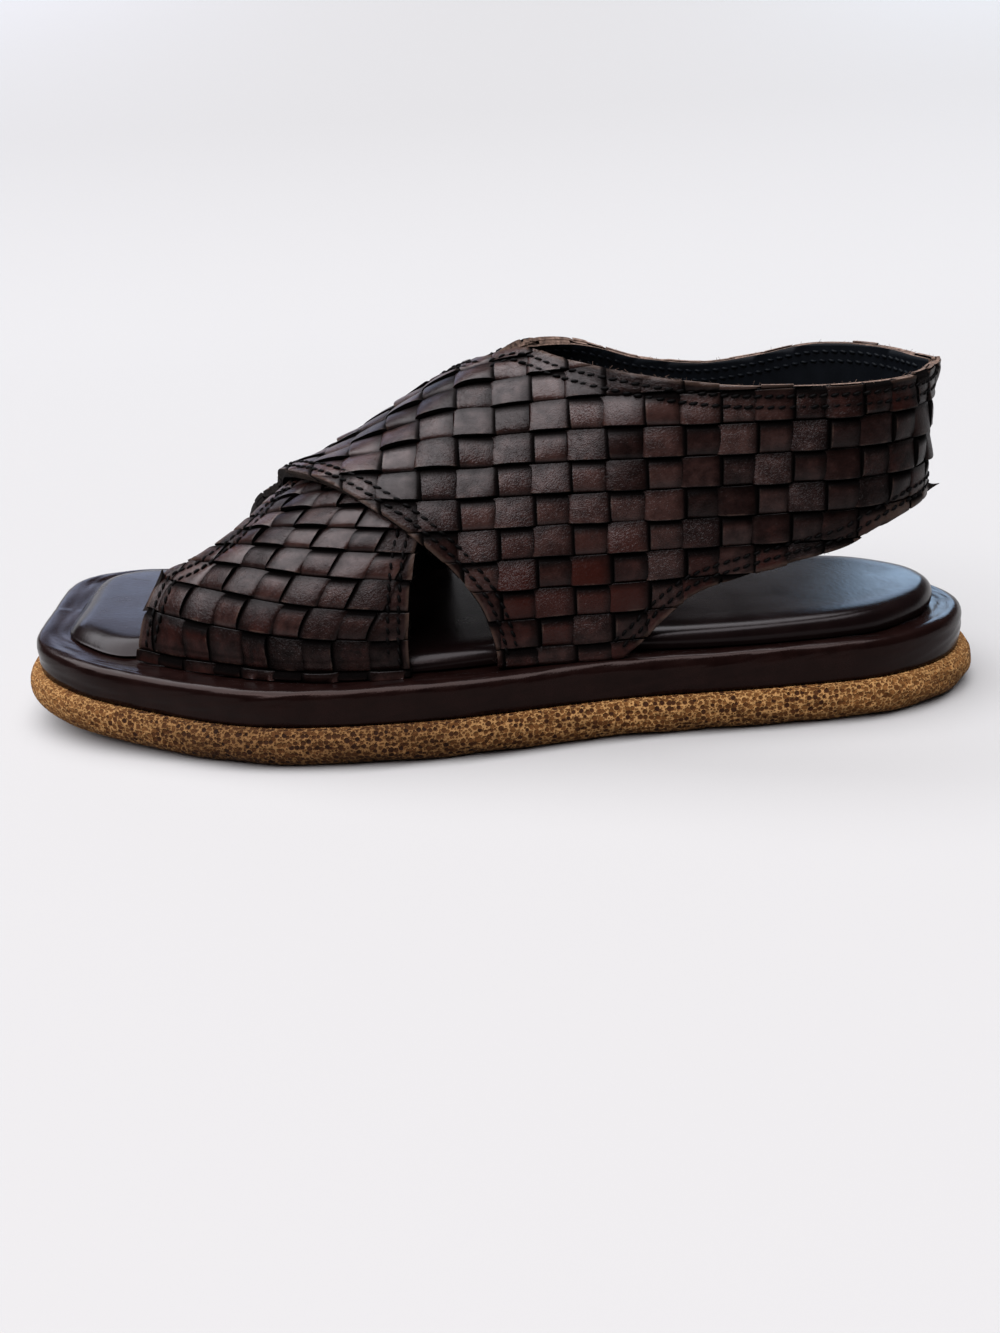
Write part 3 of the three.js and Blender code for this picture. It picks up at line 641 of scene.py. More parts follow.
def stripHeight(strap, s, v, distance, ride):  # top of a strip over the form: lining, then one or two strips
    thick = mix(weave["edgeStrip"], weave["strip"], smooth(*weave["edgeBand"], distance))
    for row in stitching["rows"]:
        thick = thick - stitching["press"] * np.exp(-(((distance - row) / stitching["pressWidth"]) ** 2))
    thick = mix(weave["coveredStrip"], thick, strap["calm"](s, v))
    return weave["lining"] + thick * (1.5 + 0.5 * ride), thick


def topHeight(strap, s, v, distance):  # highest strip at a chart point
    c, r = strap["cells"](s, v)
    onUpright = np.abs(c - np.floor(c) - 0.5) < weave["uprightWidth"] / 2
    up = np.where(onUpright, rideOf(r, np.floor(c), True), -1)
    level = rideOf(c, np.floor(r), False)
    return stripHeight(strap, s, v, distance, np.maximum(up, level))[0] + strap["lift"](s, v)


def stripRelief(strap, g, s, v, distance, upright):
    # height of a strip's face over the form, and its thickness: tilted, uneven, bulging, crowned and bevelled
    noise = lambda step: cellNoise(g["k"], g["along"], g["seed"] + step)
    height, thick = stripHeight(strap, s, v, distance, g["ride"])
    calm = strap["calm"](s, v)
    settled = smooth(*weave["settleBand"], distance) * calm
    tilt = -runValue(upright, "Tilt") * (strap["turn"] if upright else 1)  # one edge stands proud
    tilt = tilt * (1 + weave["tiltNoise"] * noise(5)) * smooth(*weave["tiltRide"], g["ride"])
    uneven = weave["unevenness"] * (noise(3) * g["u"] + weave["liftNoise"] * noise(4))
    _, share = cellShare(g["along"], g["k"], upright)
    bulge = weave["bulge"] * np.sin(np.pi * share) * smooth(*weave["bulgeBand"], distance) * calm
    edge = np.abs(g["u"])
    height = height + settled * (tilt * g["u"] + uneven) + bulge
    height = height - weave["bevel"] * smooth(weave["bevelFrom"], 1.0, edge) - weave["crown"] * edge**2
    return height + strap["lift"](s, v), thick


# wear of the strips, and the painted shade of their tone and cells
stripWearAndShade = {
    "stripTone": 0.35,  # share of the tone that goes by strip; the rest goes by cell
    # painted shade: the tone darkens towards the heel and low on the side, where less light falls
    "heelPaintedShade": 0.7, "heelPaintedShadeBand": (60, 105), "lowPaintedShade": 0.4, "lowPaintedShadeBand": (8, 34),
    "leastRust": 0.35, "leastGrain": 0.12,
    "flushSide": (-0.05, 0.3), "nearEnd": (0, 0.08), "farEnd": (0, 0.4),  # bands round the heart of a cell, outside which the cell is painted darker as shade
    "uprightShade": (0.76, 0.88), "levelShade": (0.87, 0.95),
    "footBand": (1.5, 4), "footAway": 3,
    "frayAlong": (99, 117), "frayUp": (44, 50), "frayBand": (1.5, 5),
}


def stripValues(strap, g, s, v, distance, top, upright, rand):  # what the leather reads, point by point
    w = stripWearAndShade
    cell, share = cellShare(g["along"], g["k"], upright)
    k, cell = g["k"] % tableSize, cell % tableSize
    perStrip, perCell = rand.rand(tableSize), rand.rand(tableSize, tableSize)
    perRust = rand.rand(tableSize, tableSize)
    tone = w["stripTone"] * perStrip[k] + (1 - w["stripTone"]) * perCell[k, cell]
    # painted shade towards the heel and low down
    tone = tone * (1 - w["heelPaintedShade"] * smooth(*w["heelPaintedShadeBand"], planeOf(s, v)[..., 0]))
    tone = tone * (1 - w["lowPaintedShade"] * (1 - smooth(*w["lowPaintedShadeBand"], v)))
    share = 1 - share if strap["turn"] < 0 and not upright else share
    edge = 0.5 - 0.5 * g["u"] * (strap["turn"] if upright else 1)  # 1 on the proud edge, 0 on the flush one
    # heart: 1 in the middle of a cell, 0 at its flush side and ends, where shade is painted darker
    heart = smooth(*w["flushSide"], edge) * smooth(*w["nearEnd"], share) * smooth(*w["farEnd"], 1 - share)
    shade = smooth(*w["uprightShade" if upright else "levelShade"], share)  # the end under a proud edge
    aboveRim = top[..., 2] - shift[2] - rimHeight(top[..., 0] - shift[0])
    fray = smooth(*w["frayAlong"], top[..., 0]) * (1 - smooth(*w["frayUp"], v))
    return {
        "tone": tone, "edge": edge, "heart": heart, "sunk": 0.5 - 0.5 * g["ride"],
        "rust": strap["rust"](s, v) * (w["leastRust"] + (1 - w["leastRust"]) * perRust[k, cell]),
        "grain": w["leastGrain"] + (1 - w["leastGrain"]) * perCell[cell, k] ** 2,
        "shade": shade * strap["calm"](s, v),
        "rim": distance + w["footAway"] * (1 - smooth(*w["footBand"], aboveRim)),  # a foot has no worn edge
        "fray": fray * (1 - smooth(*w["frayBand"], distance))}  # bare leather low at the back of the sling


def weaveStrips(strap, outline):  # uprights, then level strips, each as closed shells
    parts = []
    for upright in (True, False):
        g = stripGrid(strap, upright)
        spare = None
        if strap["covered"]:  # no strips far below the over strap
            p = planeOf(g["s"], g["v"]).reshape(-1, 2)
            spare = (insideDistance(overPlane, p)[0] > crossing["spareFrom"]).reshape(g["s"].shape)
        rand = np.random.RandomState(g["seed"] + 9)
        stickOut = weave["stickOut"] * rand.rand(tableSize)[g["k"] % tableSize] ** 2
        s, v, distance, quads = trimGrid(g["s"], g["v"], outline, spare, stickOut)
        height, thick = stripRelief(strap, g, s, v, distance, upright)
        top, bottom = onForm(s, v, height), onForm(s, v, height - weave["bodyShare"] * thick)
        used, points, faces, count = closedShell(top.reshape(-1, 3), bottom.reshape(-1, 3), quads)
        pick = lambda a: np.tile(np.broadcast_to(a, s.shape).reshape(-1)[used], 2)
        values = stripValues(strap, g, s, v, distance, top, upright, rand)
        along = g["along"] * runValue(upright, "Pitch")
        uv = np.stack([pick(along), pick(g["u"] * weave["uvHalfWidth"] + g["k"] * weave["uvStep"])], 1)
        parts.append((points, faces, count, {key: pick(value) for key, value in values.items()}, uv))
    return parts


def joinShells(name, parts, materials):  # materials: faces, strip sides, walls on the strap's own edge
    points = np.vstack([p[0] for p in parts])
    base = np.cumsum([0] + [len(p[0]) for p in parts[:-1]])
    faces = np.vstack([p[1] + b for p, b in zip(parts, base)])
    isWall = np.concatenate([np.arange(len(p[1])) >= 2 * p[2] for p in parts])
    values = {key: np.concatenate([p[3][key] for p in parts]) for key in parts[0][3]}
    atEdge = values["rim"][faces[:, 2:]].max(1) < 0.05  # walls on the strap's own edge
    uv = np.vstack([p[4] for p in parts])
    kind = np.where(isWall, np.where(atEdge, 2, 1), 0)
    return makePiece(
        name, points, faces, materials, faceMaterial=kind, faceSmooth=~isWall, values=values, uv=uv)


def liningShell(strap, outline, step):  # one smooth sheet under the strips
    low, high = outline.min(0) - step, outline.max(0) + step
    s, v = np.meshgrid(np.arange(low[0], high[0], step), np.arange(low[1], high[1], step), indexing="ij")
    s, v, distance, quads = trimGrid(s, v, outline)
    lift = strap["lift"](s, v)
    top, bottom = (onForm(s, v, h + lift).reshape(-1, 3) for h in (weave["lining"], 0))
    used, points, faces, count = closedShell(top, bottom, quads)
    uv = np.tile(np.stack([s.ravel()[used], v.ravel()[used]], 1), (2, 1))
    return points, faces, count, {"rim": np.tile(distance.ravel()[used], 2)}, uv


tube = {"rings": 5, "sides": 6, "endWidth": 0.7}


def tubes(name, path, above, radius, material):  # short tubes along path rows; above is on their outer side
    run = np.gradient(path, axis=1)
    side = unit(np.cross(run, above - path))
    normal = unit(np.cross(side, run))
    turn = np.linspace(0, 2 * np.pi, tube["sides"], endpoint=False)
    width = np.ones(tube["rings"])
    width[[0, -1]] = tube["endWidth"]
    ring = np.cos(turn)[:, None] * side[:, :, None] + np.sin(turn)[:, None] * normal[:, :, None]
    points = (path[:, :, None] + (radius * width)[None, :, None, None] * ring).reshape(-1, 3)
    first = (np.arange(len(path)) * tube["rings"] * tube["sides"])[:, None, None]
    rings = ringQuads(tube["rings"], tube["sides"])
    ends = np.array([[3, 2, 1, 0], [5, 4, 3, 0], [24, 25, 26, 27], [24, 27, 28, 29]])  # two faces an end
    sides, caps = ((first + faces).reshape(-1, 4) for faces in (rings, ends))
    return makePiece(name, points, np.vstack([sides, caps])[:, ::-1], [material])


def stitchPlaces(outline, edge, row):  # chart points of the stitches on a line a row's way inside an edge
    inward = unit(leftOf(np.gradient(edge, axis=0)))
    middle = slice(len(edge) // 2, len(edge) // 2 + 1)
    if insideDistance(outline, edge[middle] + inward[middle])[0][0] < 0:
        inward = -inward
    line = edge + row * inward
    line = line[insideDistance(outline, line)[0] > row - stitching["slack"]]
    way = alongLine(line)
    centre = np.arange(stitching["pitch"] / 2, way[-1] - stitching["endGap"], stitching["pitch"])
    share = np.linspace(-0.5, 0.5, tube["rings"])
    places = pointsAt(centre[:, None] + share * stitching["length"], way, line)
    across = unit(leftOf(places[:, -1:] - places[:, :1]))
    return places + across * (share * 2 * stitching["slant"])[None, :, None]


def threadPiece(name, strap, outline, lines, inside=False):  # each stitch dips into the leather at both ends
    places = np.vstack([stitchPlaces(outline, edge, row) for edge in lines for row in stitching["rows"]])
    if strap["covered"] and not inside:  # none below the over strap
        middle = planeOf(places[:, 2, 0], places[:, 2, 1])
        places = places[insideDistance(overPlane, middle)[0] < 1]
    s, v = places[..., 0], places[..., 1]
    sink, rise = stitching["sink"], stitching["rise"]
    dip = np.array([-sink, rise / 2, rise, rise / 2, -sink])
    if inside:
        height = strap["lift"](s, v) - dip
    else:
        distance = insideDistance(outline, places.reshape(-1, 2))[0].reshape(s.shape)
        height = topHeight(strap, s, v, distance)
        height = mix(height, height.max(1, keepdims=True), 0.5) + dip
    material = liningHide if inside else threadStuff
    return tubes(name, onForm(s, v, height), onForm(s, v, height + 1), stitching["radius"], material)


fuzz = {
    "spacing": 1.1, "jitter": 0.5, "shortest": 0.5, "longest": 1.9, "root": 0.3, "drift": 1.3, "lean": 0.6,
    "lowest": 0.3, "highest": 2.0, "radius": 0.045, "seed": 71,
}


def fibrePiece(name, strap, outline, lines):  # loose fibres that stand out of the cut edges
    rand = np.random.RandomState(fuzz["seed"])
    edge = np.vstack([evenly(line, fuzz["spacing"]) for line in lines])
    n = len(edge)
    edge = edge + rand.uniform(-fuzz["jitter"], fuzz["jitter"], (n, 2))
    _, nearest = insideDistance(outline, edge)
    along = np.gradient(nearest, axis=0)
    out = -leftOf(along) / np.maximum(np.linalg.norm(along, axis=1, keepdims=True), 1e-3)
    out *= np.where(insideDistance(outline, nearest + 0.4 * out)[0] > 0, -1, 1)[:, None]
    share = np.linspace(0, 1, tube["rings"])[None, :]
    length = rand.uniform(fuzz["shortest"], fuzz["longest"], (n, 1)) * rand.rand(n, 1)
    drift, lean = fuzz["drift"] * rand.uniform(-1, 1, (2, n, 1))
    place = nearest[:, None] + out[:, None] * (length * share - fuzz["root"])[..., None]
    place = place + leftOf(out)[:, None] * (drift * share**2)[..., None]
    s, v = place[..., 0], place[..., 1]
    height = strap["lift"](s, v) + rand.uniform(fuzz["lowest"], fuzz["highest"], (n, 1))
    height = height + fuzz["lean"] * lean * share**2
    return tubes(name, onForm(s, v, height), onForm(s, v, height + 1), fuzz["radius"], cutEdge)


looseCorners = {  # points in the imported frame
    "heel_tip": {"low": [121.5, 5, 50], "high": [127.2, 5, 58.4], "tip": [130.8, 5.3, 57.6],
                 "side": [0, 1, 0], "thick": 2.4},
    "vamp_tip": {"low": [-93, -29.6, 36.5], "high": [-88.2, -22.8, 44.6], "tip": [-88, -25, 47.2],
                 "side": [1, 0, 0], "thick": 1.8},
}
looseShape = {"steps": 7, "lowerSag": 0.18, "upperSag": 0.06, "taper": 0.4}


def loosePiece(name, corner):  # a leather corner from the line low-high out to tip, thinner towards it
    low, high, tip, side = (np.array(corner[key], float) for key in ("low", "high", "tip", "side"))
    share = np.linspace(0, 1, looseShape["steps"])[:, None]
    lower = mix(low, tip, share) + (high - low) * looseShape["lowerSag"] * np.sin(np.pi * share)
    upper = mix(high, tip, share) - (high - low) * looseShape["upperSag"] * np.sin(np.pi * share)
    half = side * corner["thick"] * (0.5 - looseShape["taper"] * share)
    points = np.stack([lower - half, lower + half, upper + half, upper - half], 1).reshape(-1, 3)
    last = len(points) - 4 + np.arange(4)
    quads = np.vstack([ringQuads(looseShape["steps"], 4), [[3, 2, 1, 0], last]])
    turned = np.dot(np.cross(2 * half[0], high - low), tip - low) < 0
    quads = quads[:, ::-1] if turned else quads
    return makePiece(name, points, quads, [cutEdge], faceSmooth=np.zeros(len(quads), bool))


backSeam = {
    "halfWidth": 4.5, "low": 33, "shoulder": 36.5, "top": 69.6, "peak": 70.4, "inside": 1.5, "outside": 2.75,
    "edgeDrop": 0.35, "edgeBand": 0.8, "groove": 0.25, "grooveAt": 1.6, "grooveWidth": 0.5,
    "gridHalf": 5, "gridColumns": 21, "gridRows": (31, 73, 0.7),
    "look": {
        "tone": 0.3, "rust": 0.2, "edge": 0.5, "sunk": 0, "shade": 0, "grain": 0.3, "heart": 1, "fray": 0},
}


def seamOutline():  # a long hexagon about the back seam, in even steps
    w = backSeam["halfWidth"]
    low, shoulder, top, peak = (backSeam[key] for key in ("low", "shoulder", "top", "peak"))
    corners = [[-w, shoulder], [0, low], [w, shoulder], [w, top], [0, peak], [-w, top]]
    loop = np.array(corners + corners[:1], float) + [heelBack, 0]
    return evenly(loop, 1.0)[:-1]


def seamShell():  # the strip that closes the two halves of the sling at the back
    outline = seamOutline()
    sideways = np.linspace(-backSeam["gridHalf"], backSeam["gridHalf"], backSeam["gridColumns"])
    s, v = np.meshgrid(heelBack + sideways, np.arange(*backSeam["gridRows"]), indexing="ij")
    s, v, distance, quads = trimGrid(s, v, outline)
    ridge = backSeam["outside"] - backSeam["edgeDrop"] * (1 - smooth(0, backSeam["edgeBand"], distance))
    fromGroove = (distance - backSeam["grooveAt"]) / backSeam["grooveWidth"]
    ridge = ridge - backSeam["groove"] * np.exp(-(fromGroove**2))
    top = onForm(s, v, ridge).reshape(-1, 3)
    bottom = onForm(s, v, np.full(s.shape, backSeam["inside"])).reshape(-1, 3)
    used, points, faces, count = closedShell(top, bottom, quads)
    values = {key: np.full(2 * len(used), float(value)) for key, value in backSeam["look"].items()}
    values["rim"] = np.tile(distance.ravel()[used], 2)
    return points, faces, count, values, np.tile(np.stack([v.ravel()[used], s.ravel()[used]], 1), (2, 1))


# Materials
def newMaterial(name):  # a node material, its tree and its Principled shader
    material = bpy.data.materials.new(name)
    material.use_nodes = True
    return material, material.node_tree, material.node_tree.nodes["Principled BSDF"]


def feed(tree, node, inputs):  # a socket is linked, anything else is set
    for key, value in inputs.items():
        if isinstance(value, bpy.types.NodeSocket):
            tree.links.new(value, node.inputs[key])
        else:
            node.inputs[key].default_value = value


def addNode(tree, kind, inputs=None, **settings):  # a node with its settings and inputs
    node = tree.nodes.new(kind)
    for key, value in settings.items():
        setattr(node, key, value)
    feed(tree, node, inputs or {})
    return node


def rampOf(tree, factor, stops):  # a stop is its place and a colour, or one number for a grey
    node = addNode(tree, "ShaderNodeValToRGB", {"Fac": factor})
    elements = node.color_ramp.elements
    while len(elements) < len(stops):
        elements.new(0.5)
    for element, (place, colour) in zip(elements, stops):
        element.position = place
        element.color = (*colour, 1) if isinstance(colour, tuple) else (colour, colour, colour, 1)
    return node.outputs["Color"]


def mathOf(tree, operation, a, b=0.0, clamp=False):  # a and b through one math node
    return addNode(tree, "ShaderNodeMath", {0: a, 1: b}, operation=operation, use_clamp=clamp).outputs[0]


def scaleOf(tree, value, factor, plus=None):  # value times factor, and plus on top
    scaled = mathOf(tree, "MULTIPLY", value, factor)
    return scaled if plus is None else mathOf(tree, "ADD", scaled, plus)


def mixOf(tree, factor, a, b, blend="MIX"):  # colour a, with b blended in by factor
    node = addNode(tree, "ShaderNodeMix", data_type="RGBA", blend_type=blend)
    for key, value in (("Factor", factor), ("A", a), ("B", b)):
        kind = "VALUE" if key == "Factor" else "RGBA"
        socket = [x for x in node.inputs if x.name == key and x.type == kind][0]
        if isinstance(value, bpy.types.NodeSocket):
            tree.links.new(value, socket)
        else:
            socket.default_value = value if key == "Factor" else (*value, 1)
    return [x for x in node.outputs if x.type == "RGBA"][0]


def attributeOf(tree, name):  # a value that the mesh carries
    return addNode(tree, "ShaderNodeAttribute", attribute_name=name).outputs["Fac"]


def objectPlace(tree):  # Object coordinates, in metres
    return addNode(tree, "ShaderNodeTexCoord").outputs["Object"]


def stripMap(tree):  # the piece's own map, in millimetres
    return addNode(tree, "ShaderNodeUVMap", uv_map="strip").outputs["UV"]


def axesOf(tree, vector):  # X, Y and Z of a vector
    return addNode(tree, "ShaderNodeSeparateXYZ", {"Vector": vector}).outputs


def noiseOf(tree, vector, scale, detail, distortion=0.0, roughness=0.5):  # noise from 0 to 1
    inputs = {"Vector": vector, "Scale": scale, "Detail": detail}
    inputs.update({"Distortion": distortion, "Roughness": roughness})
    return addNode(tree, "ShaderNodeTexNoise", inputs).outputs["Fac"]


def bumpOf(tree, height, strength, distance):  # distance in metres
    inputs = {"Height": height, "Strength": strength, "Distance": distance}
    return addNode(tree, "ShaderNodeBump", inputs).outputs["Normal"]


def newGroup(name, inputs, outputs):  # an empty node group with its sockets
    group = bpy.data.node_groups.new(name, "ShaderNodeTree")
    for label, kind in inputs:
        group.interface.new_socket(label, in_out="INPUT", socket_type=kind)
    for label, kind in outputs:
        group.interface.new_socket(label, in_out="OUTPUT", socket_type=kind)
    return group, addNode(group, "NodeGroupInput").outputs, addNode(group, "NodeGroupOutput")


def grainGroup():  # hide grain: small cells split by creases, with a fine noise, and a broad blotch
    group, source, result = newGroup(
        "hideGrain", [("Vector", "NodeSocketVector"), ("Scale", "NodeSocketFloat")],
        [("Height", "NodeSocketFloat"), ("Blotch", "NodeSocketFloat")])
    vector, scale = source["Vector"], source["Scale"]
    inputs = {"Vector": vector, "Scale": scale}
    cells = addNode(group, "ShaderNodeTexVoronoi", inputs, feature="DISTANCE_TO_EDGE")
    crease = mathOf(group, "MULTIPLY", cells.outputs["Distance"], 3.0, clamp=True)
    fine = noiseOf(group, vector, scaleOf(group, scale, 1.7), 3.0, distortion=0.9)
    blotch = noiseOf(group, vector, scaleOf(group, scale, 0.15), 4.0, roughness=0.6)
    height = mathOf(group, "ADD", scaleOf(group, crease, 0.4), scaleOf(group, fine, 0.8))
    feed(group, result, {"Height": height, "Blotch": blotch})
    return group


hideGrain = grainGroup()


def useGrain(tree, vector, scale):  # hideGrain at a scale of its own: height and blotch
    node = addNode(tree, "ShaderNodeGroup", node_tree=hideGrain)
    feed(tree, node, {"Vector": vector, "Scale": scale})
    return node.outputs["Height"], node.outputs["Blotch"]


stripLook = {
    "grainScale": 1.6,
    "tones": [
        (0.2, (0.0019, 0.0008, 0.0007)), (0.5, (0.0072, 0.0028, 0.0023)), (0.85, (0.023, 0.0102, 0.0083))],
    "rust": (0.0145, 0.0026, 0.0015), "bare": (0.04, 0.024, 0.0175), "shadow": (0.0008, 0.0006, 0.0006),
    "redFrom": [(0.57, 0), (0.77, 0.55), (1.0, 1)],
    # darker strip edges: partly a burnish, partly painted shade between the strips
    "burnishAndShade": [(0.0, (0.4, 0.38, 0.38)), (0.06, (0.75, 0.73, 0.72)), (0.25, 1), (0.97, 1), (0.99, 0.3)],
    "shadedSides": [(0.0, (0.35, 0.33, 0.33)), (0.9, 1)],
    "proudEdge": [(0.93, 0), (0.96, 1), (0.985, 0.3)], "scuff": [(0.5, 0), (0.62, 1)],
    "cutEdge": [(0.0, 1), (0.3, 0.75), (0.95, 0)],
    "stitchGrooveShade": [(0.2, 1), (0.75, 0)], "underneathShade": [(0.36, 0), (0.5, 0.85), (0.7, 1)],
    "grainDepth": 0.0002, "wrinkleScale": 1.25, "wrinkleDepth": 0.00032,
    "coatRough": 0.24, "gloss": 0.02, "tint": (1.0, 0.82, 0.78, 1),
}


def stripLeather():  # mottled hide, ruddy in places, bare on worn and cut edges, with painted shade: black where it goes under, at ends under proud edges, in stitch grooves
    look = stripLook
    material, tree, shader = newMaterial("stripLeather")
    uv = stripMap(tree)
    height, blotch = useGrain(tree, uv, look["grainScale"])
    keys = ("tone", "rust", "edge", "sunk", "shade", "grain", "rim", "heart", "fray")
    tone, rust, edge, sunk, shade, grain, rim, heart, fray = (attributeOf(tree, key) for key in keys)
    mottled = mathOf(tree, "ADD", scaleOf(tree, tone, 0.62), scaleOf(tree, blotch, 0.9, -0.17))
    base = rampOf(tree, mottled, look["tones"])
    # the red fades with the painted shade towards the sides of each cell
    ruddy = mathOf(tree, "MULTIPLY", rust, scaleOf(tree, heart, 0.38, 0.5))
    red = rampOf(tree, mathOf(tree, "ADD", ruddy, scaleOf(tree, blotch, 0.54)), look["redFrom"])
    colour = mixOf(tree, scaleOf(tree, red, 0.9), base, look["rust"])
    # painted shade along the strip edges and towards the shaded sides of each cell; the edges are partly
    # burnished too
    for factor, stops in ((edge, look["burnishAndShade"]), (heart, look["shadedSides"])):
        colour = mixOf(tree, 1.0, colour, rampOf(tree, factor, stops), "MULTIPLY")
    scuff = rampOf(tree, blotch, look["scuff"])
    rubbed = mathOf(tree, "MULTIPLY", rampOf(tree, edge, look["proudEdge"]), scuff)
    cut = rampOf(tree, rim, look["cutEdge"])
    bare = mathOf(tree, "MAXIMUM", scaleOf(tree, rubbed, 0.5), scaleOf(tree, cut, 0.6))
    bare = mathOf(tree, "MAXIMUM", bare, scaleOf(tree, fray, 0.85))
    colour = mixOf(tree, bare, colour, look["bare"])
    # painted shade in the grooves of the stitch rows
    fromRows = [mathOf(tree, "ABSOLUTE", mathOf(tree, "SUBTRACT", rim, row)) for row in stitching["rows"]]
    sewn = mathOf(tree, "MAXIMUM", *(rampOf(tree, away, look["stitchGrooveShade"]) for away in fromRows))
    # painted shade: black where a strip goes under its neighbour; dim adds the groove shade and the painted
    # shadow under proud edges
    deep = rampOf(tree, sunk, look["underneathShade"])
    dim = mathOf(tree, "MAXIMUM", mathOf(tree, "MAXIMUM", deep, scaleOf(tree, sewn, 0.4)), shade)
    coarse = mathOf(tree, "ADD", grain, 0.15)
    wrinkles = noiseOf(tree, uv, look["wrinkleScale"], 2.5, distortion=1.4)
    polish = mathOf(tree, "MULTIPLY", scaleOf(tree, mottled, 0.4, 0.04), scaleOf(tree, heart, 0.6, 0.4))
    feed(tree, shader, {
        "Base Color": mixOf(tree, dim, colour, look["shadow"]),
        "Roughness": mathOf(tree, "ADD", scaleOf(tree, blotch, 0.3), scaleOf(tree, dim, 0.5, 0.22)),
        "Normal": bumpOf(tree, mathOf(tree, "MULTIPLY", height, coarse), 1.0, look["grainDepth"]),
        "Coat Normal": bumpOf(tree, mathOf(tree, "MULTIPLY", wrinkles, coarse), 1.0, look["wrinkleDepth"]),
        "Coat Weight": mathOf(tree, "MULTIPLY", polish, mathOf(tree, "SUBTRACT", 1.0, dim, clamp=True)),
        "Coat Roughness": look["coatRough"],
        "Specular IOR Level": look["gloss"], "Specular Tint": look["tint"]})
    return material


def stripSide():  # sides of the strips, near black: partly their own dark colour, partly painted shade in the gaps between them
    material, tree, shader = newMaterial("stripSide")
    fibre = noiseOf(tree, objectPlace(tree), 700.0, 3.0)
    colour = rampOf(tree, fibre, [(0.35, (0.0006, 0.0005, 0.0005)), (0.75, (0.0022, 0.0014, 0.0012))])
    feed(tree, shader, {"Base Color": colour, "Roughness": 0.8, "Specular IOR Level": 0.02})
    return material


rawLook = {
    "tones": [(0.35, (0.014, 0.0084, 0.0063)), (0.55, (0.072, 0.045, 0.033)), (0.75, (0.16, 0.105, 0.08))],
    "darkBelowCollar": [(0.68, (0.07, 0.06, 0.055)), (0.8, 1)],  # against tenths of a metre: light at the collar, darker below it
}


def rawEdge():  # cut leather: brown fibres, darker below the collar
    material, tree, shader = newMaterial("rawEdge")
    place = objectPlace(tree)
    fibre, cloud = noiseOf(tree, place, 900.0, 4.0), noiseOf(tree, place, 90.0, 3.0)
    mixed = mathOf(tree, "ADD", scaleOf(tree, fibre, 0.6), scaleOf(tree, cloud, 0.5))
    darkBelowCollar = rampOf(tree, scaleOf(tree, axesOf(tree, place)["Z"], 10.0), rawLook["darkBelowCollar"])
    feed(tree, shader, {
        "Base Color": mixOf(tree, 1.0, rampOf(tree, mixed, rawLook["tones"]), darkBelowCollar, "MULTIPLY"),
        "Normal": bumpOf(tree, fibre, 0.7, 0.0005), "Roughness": 0.9, "Specular IOR Level": 0.15})
    return material


plainHides = {
    "wrapLeather": {"dark": (0.0024, 0.0009, 0.0008), "light": (0.005, 0.0019, 0.0016), "rough": 0.12,
                    "grainScale": 900.0, "gloss": 0.1, "tint": (1.0, 0.74, 0.68, 1)},
    "bedLeather": {"dark": (0.002, 0.001, 0.001), "light": (0.0036, 0.0017, 0.0016), "rough": 0.14,
                   "grainScale": 500.0, "gloss": 0.115, "tint": (0.98, 0.88, 0.88, 1)},
    "liningLeather": {"dark": (0.0009, 0.0013, 0.002), "light": (0.0018, 0.0025, 0.0037), "rough": 0.45,
                      "grainScale": 900.0, "gloss": 0.06, "tint": (1, 1, 1, 1)},
    "thread": {"dark": (0.0005, 0.0004, 0.0004), "light": (0.0011, 0.0008, 0.0008), "rough": 0.5,
               "grainScale": 2500.0, "gloss": 0.03, "tint": (1, 1, 1, 1)},
}


def plainLeather(name):  # one colour with a broad blotch and a low grain
    look = plainHides[name]
    material, tree, shader = newMaterial(name)
    height, blotch = useGrain(tree, objectPlace(tree), look["grainScale"])
    feed(tree, shader, {
        "Base Color": rampOf(tree, blotch, [(0.3, look["dark"]), (0.7, look["light"])]),
        "Roughness": scaleOf(tree, blotch, 0.2, look["rough"]),
        "Normal": bumpOf(tree, height, 0.2, 0.0001),
        "Specular IOR Level": look["gloss"], "Specular Tint": look["tint"]})
    return material


foamLook = {
    "pores": ((0.62, 0.34, 0.2), (1.2, 0.28, 0.24)),  # cells to a millimetre, least radius, spread of it
    "bowl": [(0.0, 0), (0.15, 1)], "fineShare": 0.7,
    "ends": [(0.095, 1), (0.132, 0.5)],  # wide pores fade out towards toe and heel, in metres
    "wall": [(0.3, (0.16, 0.083, 0.029)), (0.7, (0.23, 0.124, 0.046))],
    # painted shade on the floors of the pores, darker the deeper they are
    "floor": [(0.0, 1), (0.35, (0.6, 0.48, 0.36)), (0.7, (0.24, 0.155, 0.085)), (1.0, (0.06, 0.027, 0.011))],
    # darker towards the ground, and darker under the ball
    "darkerTowardsGround": [(0.32, (0.45, 0.42, 0.4)), (1.0, 1)],
    "darkerUnderBall": [(0.1, 1), (0.27, (0.5, 0.47, 0.46)), (0.45, (0.52, 0.49, 0.48)), (0.64, 1)],  # toe to heel
}


